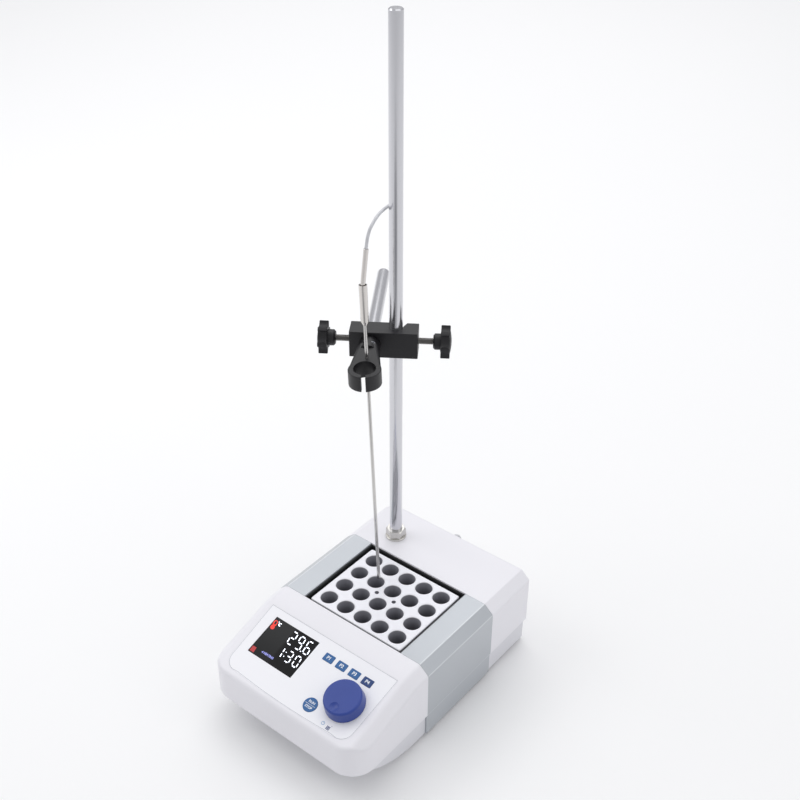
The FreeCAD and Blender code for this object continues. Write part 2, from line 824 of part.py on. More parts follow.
def make_board():
    low = board_top - board_thickness
    y = -board_length / 2 + 1.0 - 3.0
    board = middle_box(0, y, board_width, board_length, low, board_top)
    holes = [rod(screw_thread / 2 + 0.1, (x, py, low - 1), (x, py, board_top + 1)) for x, py in board_posts]
    nodes["control_board"] = moved(board.cut(holes), panel)
    screws = []
    for x, py in board_posts:
        head = rod(screw_head / 2, (x, py, low - screw_head_height), (x, py, low))
        screws.append(head.fuse(rod(screw_thread / 2, (x, py, low), (x, py, board_top + 5))))
    nodes["board_screws"] = moved(Part.makeCompound(screws), panel)
    switches = []
    places = [(x, key_down) for x in key_places] + [(run_key_x, run_key_down)]
    for x, down in places:
        case = middle_box(x, -down, switch_size, switch_size, board_top, board_top + switch_height - 1.2)
        tip = stem_at(x, down, 1.7, board_top + switch_height - 1.2, board_top + switch_height)
        switches.append(case.fuse(tip))
    nodes["key_switches"] = moved(Part.makeCompound(switches), panel)


# Support rod, clamp and probe


def make_rod():
    foot = housing_top - wall - rod_socket_depth + 3.0
    shaft = rod(rod_diameter / 2, (rod_x, rod_y, foot), (rod_x, rod_y, rod_top))
    top_edge = [edge for edge in shaft.Edges if at_height(rod_top)(edge)]
    nodes["support_rod"] = shaft.makeChamfer(rod_chamfer, top_edge)
    hollow = rod(rod_diameter / 2 + rod_clearance, (rod_x, rod_y, foot - 0.5), (rod_x, rod_y, through))
    nodes["rod_socket"] = rod_socket_outer().cut(hollow)
    flange = rod(nut_flange, (rod_x, rod_y, housing_top), (rod_x, rod_y, housing_top + nut_flange_height))
    across = nut_across / math.sqrt(3)
    corners = []
    for i in range(6):
        turn = math.radians(clamp_turn + 60 * i)
        x, y = rod_x + across * math.cos(turn), rod_y + across * math.sin(turn)
        corners.append(Vector(x, y, housing_top))
    height = nut_flange_height + nut_height
    hexagon = Part.Face(outline(corners)).extrude(Vector(0, 0, height))
    bevel_z = housing_top + height - 2.4
    bevel = Part.makeCone(across + 0.8, nut_across / 2 - 0.2, 2.4, Vector(rod_x, rod_y, bevel_z))
    below = rod(across + 0.8, (rod_x, rod_y, housing_top), (rod_x, rod_y, bevel_z))
    hexagon = hexagon.common(bevel.fuse(below))
    nut = hexagon.fuse(rounded(flange, 0.6, at_height(housing_top + nut_flange_height)))
    bore = rod(rod_diameter / 2 + rod_clearance, (rod_x, rod_y, 0), (rod_x, rod_y, through))
    nodes["rod_nut"] = nut.cut(bore).removeSplitter()


# Clamp frame: x to the right along the head, y to the back along the arm, z up
clamp = Placement(Vector(rod_x, rod_y, clamp_z), Rotation(Vector(0, 0, 1), clamp_turn))


def star_knob(start, sign):
    """A star grip with a round hub, its axis along x, from start outwards."""
    hub = rod(star_hub_radius, (start, 0, 0), (start + sign * hub_length, 0, 0))
    near = [e for e in hub.Edges if abs(e.BoundBox.XMin - start) < 0.01 and e.BoundBox.XLength < 0.01]
    hub = hub.makeChamfer(1.5, near)
    face = start + sign * hub_length
    outer = face + sign * star_thickness
    core = rod(star_radius, (face, 0, 0), (outer, 0, 0))
    bites = []
    gap = 2 * math.pi / star_lobes
    bite = star_radius * 0.44
    for i in range(star_lobes):
        turn = gap * (i + 0.5)
        y, z = (star_waist + bite) * math.cos(turn), (star_waist + bite) * math.sin(turn)
        bites.append(rod(bite, (face - sign, y, z), (outer + sign, y, z)))
    star = core.cut(bites)
    star = rounded(star, 0.9, lambda e: e.BoundBox.XLength < 0.01)
    dome_radius = (star_waist**2 + star_dome**2) / (2 * star_dome)
    dome = Part.makeSphere(dome_radius, Vector(outer + sign * (star_dome - dome_radius), 0, 0))
    cap = dome.common(rod(star_waist - 1, (outer - sign, 0, 0), (outer + sign * 5, 0, 0)))
    return hub.fuse([star, cap]).removeSplitter()


def make_clamp():
    block = box(-boss_left, boss_right, -boss_front, boss_back, -boss_half_height, boss_half_height)
    block = rounded(block, boss_edge, lambda e: True)
    bore = rod_diameter / 2 + rod_clearance
    slot = rod(bore, (0, 0, -30), (0, 0, 30)).fuse(box(-bore, bore, 0, 30, -30, 30))
    behind = boss_back + 1
    notch = [Vector(bore, 1.5, -30), Vector(bore + slot_notch, behind, -30), Vector(0, behind, -30)]
    notch = Part.Face(outline(notch)).extrude(Vector(0, 0, 60))
    arm_bore = rod(arm_diameter / 2 + arm_clearance, (arm_x, -30, 0), (arm_x, 30, 0))
    thread = screw_diameter / 2 + screw_clearance
    left = rod(thread, (-boss_left - 1, 0, 0), (arm_x, 0, 0))
    right = rod(thread, (0, 0, 0), (boss_right + 1, 0, 0))
    nodes["clamp_head"] = moved(block.cut([slot, notch, arm_bore, left, right]).removeSplitter(), clamp)
    arm_front = -(boss_front + holder_gap + arm_in_holder)
    arm = rod(arm_diameter / 2, (arm_x, arm_front, 0), (arm_x, arm_back, 0))
    back_end = [e for e in arm.Edges if e.BoundBox.YMin > arm_back - 0.01]
    nodes["arm_rod"] = moved(arm.makeFillet(1.2, back_end), clamp)
    tip_left = arm_x - arm_diameter / 2
    left_screw = rod(screw_diameter / 2, (-left_hub_start, 0, 0), (tip_left, 0, 0))
    right_screw = rod(screw_diameter / 2, (rod_diameter / 2, 0, 0), (right_hub_start, 0, 0))
    arm_body = rod(arm_diameter / 2, (arm_x, -30, 0), (arm_x, 30, 0))
    rod_body = rod(rod_diameter / 2, (0, 0, -30), (0, 0, 30))
    nodes["arm_clamp_screw"] = moved(left_screw.cut(arm_body), clamp)
    nodes["rod_clamp_screw"] = moved(right_screw.cut(rod_body), clamp)
    nodes["arm_clamp_knob"] = moved(star_knob(-left_hub_start, -1), clamp)
    nodes["rod_clamp_knob"] = moved(star_knob(right_hub_start, 1), clamp)


# The holder is turned a little about the arm
holder_turn = Placement(Vector(0, 0, 0), Rotation(Vector(0, 1, 0), -holder_roll))
holder_lift = Placement(Vector(arm_x, 0, 0), Rotation())
holder = clamp.multiply(holder_lift).multiply(holder_turn)
ring_y = -(boss_front + ring_centre)

foot_point = Vector(probe_foot[0], probe_foot[1], housing_top - block_sink)
neck_point = Vector(*probe_at_neck)
lean = (neck_point - foot_point).normalize()


def along_probe(distance):
    return foot_point + lean * distance


def make_holder():
    hub_back = -(boss_front + holder_gap)
    hub = rod(hub_radius, (0, hub_back, 0), (0, hub_back - neck_back, 0))

    def ring_section(y, half, top, low, radius):
        face = box(-half, half, y - 1, y, -low, top)
        face = rounded(face, radius, lambda e: e.BoundBox.YLength > 0.5)
        boxes = [(e, e.BoundBox) for e in face.Edges]
        edges = [e for e, size in boxes if abs(size.YMin - y) < 0.01 and abs(size.YMax - y) < 0.01]
        return Part.Wire(Part.__sortEdges__(edges))

    start_y = hub_back - neck_back + 6
    start = ring_section(start_y, hub_radius - 0.2, hub_radius - 1.0, hub_radius - 0.5, 5.0)
    end = ring_section(ring_y, ring_outer - 0.3, ring_top, ring_bottom, 1.2)
    neck = Part.makeLoft([start, end], True, True)
    ring = rod(ring_outer, (0, ring_y, -ring_bottom), (0, ring_y, ring_top))
    ring = rounded(ring, 0.8, lambda e: e.BoundBox.ZLength < 0.01)
    body = hub.fuse([neck, ring])
    cuts = [rod(ring_bore, (0, ring_y, -40), (0, ring_y, 40))]
    cuts.append(box(-ring_slit / 2, ring_slit / 2, ring_y - 40, ring_y, -40, 40))
    cuts.append(rod(arm_diameter / 2 + arm_clearance, (0, 10, 0), (0, hub_back - arm_in_holder - 0.5, 0)))
    grub_y = hub_back - arm_in_holder / 2
    turn = math.radians(grub_angle)
    out = Vector(math.sin(turn), 0, math.cos(turn))
    seat = Vector(0, grub_y, 0) + out * (arm_diameter / 2)
    end = Vector(0, grub_y, 0) + out * (arm_diameter / 2 + grub_reach)
    cuts.append(rod(grub_diameter / 2, tuple(seat - out * 2), tuple(end)))
    body = moved(body.cut(cuts), holder)
    probe_hole = rod(probe_diameter / 2 + probe_clearance, tuple(along_probe(120)), tuple(along_probe(300)))
    nodes["probe_holder"] = body.cut(probe_hole).removeSplitter()
    grub = rod(grub_diameter / 2, tuple(seat), tuple(seat + out * grub_length))
    socket = rod(0.9, tuple(seat + out * 1.6), tuple(seat + out * 6))
    arm = rod(arm_diameter / 2, (0, 0, 0), (0, -60, 0))
    nodes["holder_grub_screw"] = moved(grub.cut([arm, socket]), holder)


def make_probe():
    tip = (probe_tip_z - foot_point.z) / lean.z
    tube = rod(probe_diameter / 2, tuple(along_probe(tip)), tuple(along_probe(handle_start)))
    tip_edge = [e for e in tube.Edges if e.BoundBox.ZMax < probe_tip_z + 1.0]
    nodes["probe_tube"] = tube.makeFillet(1.2, tip_edge)
    foot = along_probe(handle_start)
    taper = Part.makeCone(probe_diameter / 2 + 0.3, handle_low_radius, handle_taper, foot, lean)
    grip = Part.makeCone(
        handle_low_radius,
        handle_top_radius,
        handle_length - handle_taper,
        along_probe(handle_start + handle_taper),
        lean,
    )
    # the handle is an open tube at the top, and the sleeve is pushed into its mouth
    joint = along_probe(handle_start + handle_length)
    mouth = rod(handle_top_radius - handle_wall, tuple(joint - lean * handle_mouth), tuple(joint + lean))
    handle = taper.fuse(grip).removeSplitter().cut(mouth)
    nodes["probe_handle"] = handle
    way = Vector(*sleeve_lean).normalize()
    sleeve = rod(sleeve_radius, tuple(joint - way * (handle_mouth + 2)), tuple(joint + way * sleeve_length))
    top_edge = [e for e in sleeve.Edges if e.BoundBox.ZMin > joint.z + sleeve_length * 0.8]
    sleeve = sleeve.makeFillet(0.4, [e for e in top_edge if e.Closed])
    nodes["probe_sleeve"] = sleeve.cut(handle)


def make_plug_and_socket():
    def along_y(radius, y0, y1):
        return rod(radius, (socket_x, y0, socket_z), (socket_x, y1, socket_z))

    face = back_y + socket_flange_thickness
    flange = along_y(socket_flange, back_y, face)
    body = along_y(plug_radius - 0.1, back_y - wall - socket_depth, back_y)
    nut = along_y(socket_flange, back_y - wall - 2.5, back_y - wall)
    nodes["sensor_socket"] = flange.fuse([body, nut]).removeSplitter()
    barrel = along_y(plug_radius, face, face + plug_length)
    ribs = [along_y(plug_radius + 0.5, face + 3 + 3.2 * i, face + 4.6 + 3.2 * i) for i in range(plug_ribs)]
    end = face + plug_length
    foot = Vector(socket_x, end, socket_z)
    cone = Part.makeCone(plug_radius - 1.5, cable_diameter / 2 + 0.8, relief_length, foot, Vector(0, 1, 0))
    shell = barrel.fuse(ribs + [cone])
    nodes["cable_plug"] = shell.removeSplitter()
    return end + relief_length


def make_cable():
    """Straight runs joined by arcs, cut at the middles of runs into one length for each moving part."""
    route = [Vector(*point) for point in cable_route]
    way = Vector(*sleeve_lean).normalize()
    route[0] = along_probe(handle_start + handle_length) + way * sleeve_length
    route[1] = route[0] + way * (Vector(*cable_route[1]) - Vector(*cable_route[0])).Length
    end = make_plug_and_socket()
    route[-1] = Vector(socket_x, end, socket_z)
    route[-2] = Vector(socket_x, route[-2].y, socket_z)
    starts = [0] + cable_splits
    names = ["cable_at_probe", "cable_at_holder", "cable_at_arm", "cable_at_clamp", "cable_to_socket"]
    for number, name in enumerate(names):
        first = starts[number]
        last = starts[number + 1] if number + 1 < len(starts) else len(route) - 1
        points = route[first + 1 : last + 1]
        begin = route[0] if first == 0 else (route[first] + route[first + 1]) * 0.5
        finish = route[-1] if last == len(route) - 1 else (route[last] + route[last + 1]) * 0.5
        if last == len(route) - 1:
            points = points[:-1]
        nodes[name] = cable_tube([begin] + points + [finish], route)


def cable_tube(points, route):
    edges = []
    here = points[0]
    radii = []
    for before, corner, after in zip(points, points[1:], points[2:]):
        into = (corner - before).normalize()
        out = (after - corner).normalize()
        whole_before = full_run(before, corner, route)
        whole_after = full_run(corner, after, route)
        turn = math.acos(max(-1, min(1, into.dot(out))))
        cut = 0.45 * min(whole_before, whole_after)
        radius = cut / math.tan(turn / 2)
        radii.append(radius)
        start = corner - into * cut
        end = corner + out * cut
        inward = (out - into).normalize()
        centre = corner + inward * (radius / math.cos(turn / 2))
        middle = centre - inward * radius
        edges.append(Part.makeLine(here, start))
        edges.append(Part.Arc(start, middle, end).toShape())
        here = end
    edges.append(Part.makeLine(here, points[-1]))
    path = Part.Wire(edges)
    ring = Part.Wire([Part.makeCircle(cable_diameter / 2, points[0], points[1] - points[0])])
    tube = path.makePipeShell([ring], True, False)
    expected = math.pi * (cable_diameter / 2) ** 2 * path.Length
    share = tube.Volume / expected
    print("cable length %.1f, least radius %.1f, volume share %.4f" % (path.Length, min(radii), share))
    return tube


def full_run(a, b, route):
    """The whole run of the route that two neighbouring points lie on, so that halves bend alike."""
    for first, second in zip(route, route[1:]):
        run = second - first
        reach = run.Length
        if (a - first).cross(run).Length < 1e-6 * reach and (b - first).cross(run).Length < 1e-6 * reach:
            return reach
    return (b - a).Length


# Back wall fittings and power supply


def make_inlet():
    half_w, half_h = inlet_width / 2, inlet_height / 2
    outer = back_y + inlet_flange

    def across(half_x, half_z, y0, y1):
        return box(inlet_x - half_x, inlet_x + half_x, y0, y1, inlet_z - half_z, inlet_z + half_z)

    flange = rounded(across(half_w, half_h, back_y, outer), 2.0, along_depth)
    body = across(half_w - 2.2, half_h - 2.2, back_y - inlet_depth, back_y)
    hollow_w, hollow_h = 12.0, 7.9
    hollow = across(hollow_w, hollow_h, outer - inlet_recess, outer + 1)
    lower = lambda e: e.BoundBox.YLength > 1 and e.BoundBox.XLength < 0.01 and e.BoundBox.ZMin < inlet_z
    hollow = hollow.makeChamfer(3.4, [e for e in hollow.Edges if lower(e)])
    shell = flange.fuse(body).cut(hollow)
    pins = []
    for dx, dz in ((-7.0, -1.5), (0.0, 2.5), (7.0, -1.5)):
        x, z = inlet_x + dx, inlet_z + dz
        pins.append(box(x - 1.0, x + 1.0, outer - inlet_recess - 3, outer - 4.0, z - 2.0, z + 2.0))
    nodes["power_inlet"] = shell.fuse(pins).removeSplitter()


def make_rocker():
    half_w, half_h = rocker_width / 2, rocker_height / 2
    flange_w, flange_h = half_w + rocker_rim, half_h + rocker_rim
    outer = back_y + rocker_flange

    def across(half_x, half_z, y0, y1):
        return box(rocker_x - half_x, rocker_x + half_x, y0, y1, rocker_z - half_z, rocker_z + half_z)

    flange = rounded(across(flange_w, flange_h, back_y, outer), 1.2, along_depth)
    body = across(half_w - wall_play, half_h - wall_play, back_y - rocker_depth, back_y)
    pivot = Vector(rocker_x, back_y - rocker_sink, rocker_z)
    window_w, window_h = half_w - rocker_wall, rocker_reach + rocker_gap
    deep = back_y - rocker_depth + rocker_wall
    pocket = across(window_w, window_h, deep, outer + 1)
    pin_half = window_w + 0.6
    pin = rod(rocker_pin, (pivot.x - pin_half, pivot.y, pivot.z), (pivot.x + pin_half, pivot.y, pivot.z))
    hole_half = pin_half + 0.2
    hole = rod(
        rocker_pin + rod_clearance,
        (pivot.x - hole_half, pivot.y, pivot.z),
        (pivot.x + hole_half, pivot.y, pivot.z),
    )
    nodes["rocker_frame"] = flange.fuse(body).cut([pocket, hole]).removeSplitter()
    # the cap is a shallow V on top, and its ends are arcs about the pivot
    high = math.radians(33.0)
    low = math.radians(-17.0)
    half_cap = window_w - rocker_gap

    def at(angle, side, reach=rocker_reach):
        return pivot + Vector(-half_cap, reach * math.sin(angle), side * reach * math.cos(angle))

    dip = pivot + Vector(-half_cap, rocker_reach * math.sin(high) - 0.7, 0)
    edges = [
        Part.Arc(at(low, 1), at(0, 1), at(high, 1)).toShape(),
        Part.makeLine(at(high, 1), dip),
        Part.makeLine(dip, at(high, -1)),
        Part.Arc(at(high, -1), at(0, -1), at(low, -1)).toShape(),
        Part.makeLine(at(low, -1), at(low, 1)),
    ]
    cap = Part.Face(Part.Wire(edges)).extrude(Vector(2 * half_cap, 0, 0))
    cap = cap.fuse(pin).removeSplitter()
    cap.rotate(pivot, Vector(1, 0, 0), rocker_tilt)
    nodes["power_rocker"] = cap


def along_depth(edge):
    return edge.BoundBox.YLength > 1 and edge.BoundBox.XLength < 0.01 and edge.BoundBox.ZLength < 0.01


def make_supply():
    base = tray_floor + supply_stand
    board = middle_box(supply_x, supply_y, supply_width, supply_depth, base, base + board_thickness)
    top = base + board_thickness
    parts = [middle_box(supply_x - 26, supply_y, 30, 26, top, top + 24)]
    parts.append(rod(8.0, (supply_x + 12, supply_y, top), (supply_x + 12, supply_y, top + 22)))
    parts.append(middle_box(supply_x + 34, supply_y, 6, 30, top, top + 18))
    nodes["power_supply"] = board.fuse(parts)


make_front_housing()
make_back_housing()
make_side_panels()
make_tray()
make_feet_and_screws()
make_well()
make_block()
make_panel()
make_knob()
make_board()
make_rod()
make_clamp()
make_holder()
make_probe()
make_cable()
make_inlet()
make_rocker()
make_supply()

# The origin lies on the bench under the middle of everything but the cable
cable_nodes = [name for name in nodes if name.startswith("cable_")]
solid_parts = [shape for name, shape in nodes.items() if name not in cable_nodes]
whole = Part.makeCompound(solid_parts).BoundBox
to_origin = Vector(-(whole.XMin + whole.XMax) / 2, -(whole.YMin + whole.YMax) / 2, 0)

os.makedirs("parts", exist_ok=True)
for name, shape in nodes.items():
    shape.translate(to_origin)
    shape.exportStep("parts/%s.step" % name)
    if not shape.isValid():
        print("not valid:", name)
print("nodes", len(nodes), "origin moved by", to_origin)
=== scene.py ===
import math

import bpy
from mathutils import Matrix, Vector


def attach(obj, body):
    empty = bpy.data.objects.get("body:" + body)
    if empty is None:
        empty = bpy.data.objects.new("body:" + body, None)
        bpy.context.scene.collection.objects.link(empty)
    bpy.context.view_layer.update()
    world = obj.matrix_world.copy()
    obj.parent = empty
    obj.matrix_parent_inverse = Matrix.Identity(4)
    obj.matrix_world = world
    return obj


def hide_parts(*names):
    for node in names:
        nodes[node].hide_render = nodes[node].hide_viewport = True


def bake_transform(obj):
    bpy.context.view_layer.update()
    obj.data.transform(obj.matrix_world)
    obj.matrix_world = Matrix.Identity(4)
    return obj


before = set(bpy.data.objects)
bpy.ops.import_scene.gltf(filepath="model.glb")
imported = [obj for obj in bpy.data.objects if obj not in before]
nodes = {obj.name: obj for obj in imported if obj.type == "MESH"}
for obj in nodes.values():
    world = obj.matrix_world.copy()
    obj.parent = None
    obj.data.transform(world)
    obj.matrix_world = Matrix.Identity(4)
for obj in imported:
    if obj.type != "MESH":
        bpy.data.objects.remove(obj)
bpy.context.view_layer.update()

# %% [markdown]
# A sample incubator warms small tubes in a drilled metal block. The housing is white
# plastic with two grey metal covers, and a steel rod at the back carries a clamp that
# holds a thin temperature probe over the block. The solid pieces come from the CAD
# model. This script gives each of them its finish and adds what is printed, threaded
# or flexible. Everything is in metres, and the bench is z = 0.

scene = bpy.context.scene

# %% Where the tube block stands
corners = [nodes["tube_block"].matrix_world @ Vector(c) for c in nodes["tube_block"].bound_box]
low, high = (Vector([pick(c[i] for c in corners) for i in range(3)]) for pick in (min, max))
block_middle = Vector(((low.x + high.x) / 2, (low.y + high.y) / 2, 0))


def place(point):
    """From millimetres about the middle of the block to metres in the model's own frame."""
    return Vector(point) / 1000 + block_middle


print("block middle", tuple(round(c, 5) for c in block_middle), "top", round(high.z, 4))

# %% [markdown]
# The photograph looks down at the instrument from its front right corner. Its angle was
# worked out from the grid of tube bores, so the camera only needs three turns and a
# place. The lens is a little longer than normal, as for most product pictures.

# %% Camera
turn, tilt, roll = (math.radians(a) for a in (38.844, 33.571, 0.143))
camera_spot = place((507.4, -609.0, 827.9))
forward = Vector((-math.sin(turn) * math.cos(tilt), math.cos(turn) * math.cos(tilt), -math.sin(tilt)))
level = Vector((math.cos(turn), math.sin(turn), 0))
rise = level.cross(forward)
right = level * math.cos(roll) + rise * math.sin(roll)
up = rise * math.cos(roll) - level * math.sin(roll)
camera = bpy.data.objects.new("camera", bpy.data.cameras.new("camera"))
scene.collection.objects.link(camera)
turned = Matrix((right, up, -forward)).transposed().to_4x4()
camera.matrix_world = Matrix.Translation(camera_spot) @ turned
camera.data.sensor_width = 36
camera.data.lens = 52.18
camera.data.clip_start = 0.01
scene.camera = camera
print("camera looks along", tuple(round(c, 3) for c in forward))

# %% [markdown]
# The probe cable is one length of thin silicone lead. It leaves the crimped sleeve on
# top of the probe, bends over behind the rod, hangs down behind it and ends in a round
# plug on the back wall. A quadratic NURBS curve is right for a soft lead, because it
# has no corners. Such a curve touches the middle of each straight run between its
# points, so it can be cut there into lengths, one for each moving piece it passes,
# and the lengths still make one smooth line.

# %% Route of the cable, in millimetres from the middle of the tube block
probe_foot = Vector((-20.3, 15.2, 83.0))
probe_way = Vector((-0.0877625, 0.0490948, 0.9949309))
sleeve_way = Vector((0.0, 0.152, 0.988)).normalized()
probe_length, sleeve_length, first_straight = 299.0, 31.2, 12.06
sleeve_foot = probe_foot + probe_way * probe_length
sleeve_top = sleeve_foot + sleeve_way * sleeve_length
route = [
    sleeve_top,
    sleeve_top + sleeve_way * first_straight,
    Vector((-47.0, 45.0, 431.5)),
    Vector((-52.3, 60.4, 433.4)),
    Vector((-57.4, 84.4, 432.2)),
    Vector((-64.6, 95.8, 423.5)),
    Vector((-69.4, 101.3, 402.0)),
    Vector((-71.6, 103.8, 352.0)),
    Vector((-73.5, 106.9, 296.0)),
    Vector((-76.7, 109.8, 240.0)),
    Vector((-79.5, 114.2, 184.0)),
    Vector((-83.6, 118.5, 130.0)),
    Vector((-87.0, 123.6, 84.0)),
    Vector((-89.4, 129.5, 46.0)),
    Vector((-86.5, 139.0, 14.0)),
    Vector((-77.0, 150.0, 2.2)),
    Vector((-60.0, 158.0, 1.8)),
    Vector((-44.0, 160.0, 3.2)),
    Vector((-33.0, 159.0, 10.5)),
    Vector((-28.0, 158.2, 21.3)),
    Vector((-28.0, 158.2, 33.3)),
    Vector((-28.0, 153.2, 42.0)),
    Vector((-28.0, 144.5, 47.0)),
    Vector((-28.0, 133.5, 47.0)),
]
route = [place(point) for point in route]
print("cable route", len(route), "points")


# %% [markdown]
# Small helpers come next. A piece is finished when it is a plain mesh whose place is in
# its own points, because the CAD pieces are like that too, so one pattern can run over
# both.

# %% Helpers that make plain meshes
def mesh_piece(name, points, faces, smooth=True):
    data = bpy.data.meshes.new(name)
    data.from_pydata([tuple(p) for p in points], [], faces)
    data.validate()
    piece = bpy.data.objects.new(name, data)
    scene.collection.objects.link(piece)
    data.polygons.foreach_set("use_smooth", [smooth] * len(data.polygons))
    return piece


def evaluated_copy(source, name):
    """The source as it shows, with modifiers and bevels, as a plain mesh."""
    bpy.context.view_layer.update()
    graph = bpy.context.evaluated_depsgraph_get()
    data = bpy.data.meshes.new_from_object(source.evaluated_get(graph))
    piece = bpy.data.objects.new(name, data)
    scene.collection.objects.link(piece)
    return piece


def drop(thing):
    bpy.data.objects.remove(thing, do_unlink=True)


print("helpers ready")


# %% [markdown]
# Each length of cable is a curve first and a tube after that. The curve is read as
# points, and rings of vertices follow them with as little twist as they can. The tube
# also gets a map, with u round it and v in metres along it, for the finish.

# %% Cable lengths as smooth tubes
def nurbs_line(points):
    curve = bpy.data.curves.new("line", "CURVE")
    curve.dimensions = "3D"
    curve.resolution_u = 24
    spline = curve.splines.new("NURBS")
    spline.points.add(len(points) - 1)
    for knot, point in zip(spline.points, points):
        knot.co = (*point, 1)
    spline.order_u = 3
    spline.use_endpoint_u = True
    line = bpy.data.objects.new("line", curve)
    scene.collection.objects.link(line)
    return line


def read_line(line):
    piece = evaluated_copy(line, "path")
    points = [v.co.copy() for v in piece.data.vertices]
    drop(piece)
    return points


def tube(name, path, radius, sides=20):
    """A tube round a path, with u round it and v in metres along it."""
    ahead = (path[1] - path[0]).normalized()
    across = ahead.orthogonal().normalized()
    points, along, marks = [], 0.0, []
    for i, point in enumerate(path):
        if i:
            along += (point - path[i - 1]).length
        before = path[i] - path[max(i - 1, 0)]
        after = path[min(i + 1, len(path) - 1)] - path[i]
        way = (before.normalized() + after.normalized()).normalized()
        across = (ahead.rotation_difference(way) @ across).normalized()
        ahead = way
        up_side = ahead.cross(across)
        for k in range(sides):
            a = 2 * math.pi * k / sides
            points.append(point + (across * math.cos(a) + up_side * math.sin(a)) * radius)
        marks.append(along)
    faces = []
    for i in range(len(path) - 1):
        for k in range(sides):
            a, b = i * sides + k, i * sides + (k + 1) % sides
            faces.append((a, b, b + sides, a + sides))
    faces.append(tuple(reversed(range(sides))))
    faces.append(tuple((len(path) - 1) * sides + k for k in range(sides)))
    piece = mesh_piece(name, points, faces)
    layer = piece.data.uv_layers.new(name="around_along")
    for polygon in piece.data.polygons:
        corners = [piece.data.loops[i].vertex_index for i in polygon.loop_indices]
        wraps = len(corners) == 4 and {c % sides for c in corners} == {0, sides - 1}
        for i, c in zip(polygon.loop_indices, corners):
            u = c % sides
            if wraps and u == 0:
                u = sides
            layer.data[i].uv = (u / sides, marks[c // sides])
    return piece


cable_width = 0.0028
lengths = [
    ("cable_at_probe", 0, 2, "probe_holder", "probe"),
    ("cable_at_holder", 2, 4, "arm", "probe_holder"),
    ("cable_at_arm", 4, 6, "clamp_head", "arm"),
    ("cable_at_clamp", 6, 10, "support_rod", "clamp_head"),
    ("cable_to_socket", 10, len(route) - 1, "housing", "support_rod"),
]
cable_pieces = []
for name, first, last, lower, upper in lengths:
    start = route[0] if first == 0 else (route[first] + route[first + 1]) / 2
    stop = route[-1] if last == len(route) - 1 else (route[last] + route[last + 1]) / 2
    inner = route[first + 1 : last + 1] if last < len(route) - 1 else route[first + 1 : last]
    line = nurbs_line([start] + inner + [stop])
    path = read_line(line)
    drop(line)
    span = sum((b - a).length for a, b in zip(path, path[1:]))
    piece = tube(name + "_lead", path, cable_width / 2)
    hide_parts(name)
    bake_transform(piece)
    ends_in = "plug" if name == "cable_to_socket" else "object"
    with_it = [nodes["cable_plug"]] if name == "cable_to_socket" else []
    cable_pieces.append(piece)
    print(name, "is", round(span * 1000, 1), "mm long")


# %% [markdown]
# Materials are written as sums. A small class stands for one output of a shader node,
# and its operators add the Math nodes, so that a mask reads like arithmetic. One more
# method makes any other node: its settings are set first, and then its sockets.

# %% Shader arithmetic
class Signal:
    """One output of a shader node. Arithmetic on it adds Math nodes."""

    def __init__(self, sheet, socket):
        self.sheet, self.socket = sheet, socket

    def math(self, operation, other=0.0, swap=False):
        first, second = (other, self) if swap else (self, other)
        return self.sheet.make("ShaderNodeMath", {"operation": operation}, {0: first, 1: second})

    def __add__(self, other): return self.math("ADD", other)
    def __radd__(self, other): return self.math("ADD", other, swap=True)
    def __sub__(self, other): return self.math("SUBTRACT", other)
    def __rsub__(self, other): return self.math("SUBTRACT", other, swap=True)
    def __mul__(self, other): return self.math("MULTIPLY", other)
    def __rmul__(self, other): return self.math("MULTIPLY", other, swap=True)
    def __truediv__(self, other): return self.math("DIVIDE", other)
    def __rtruediv__(self, other): return self.math("DIVIDE", other, swap=True)
    def __pow__(self, other): return self.math("POWER", other)
    def __gt__(self, other): return self.math("GREATER_THAN", other)
    def __lt__(self, other): return self.math("LESS_THAN", other)
    def __abs__(self): return self.math("ABSOLUTE")
    def least(self, other): return self.math("MINIMUM", other)
    def sine(self): return self.math("SINE")
    def fraction(self): return self.math("FRACT")

    def ramp(self, low, high):
        """0 below low, 1 above high, and a smooth rise between."""
        settings = {"interpolation_type": "SMOOTHSTEP"}
        sockets = {"Value": self, "From Min": low, "From Max": high}
        return self.sheet.make("ShaderNodeMapRange", settings, sockets)


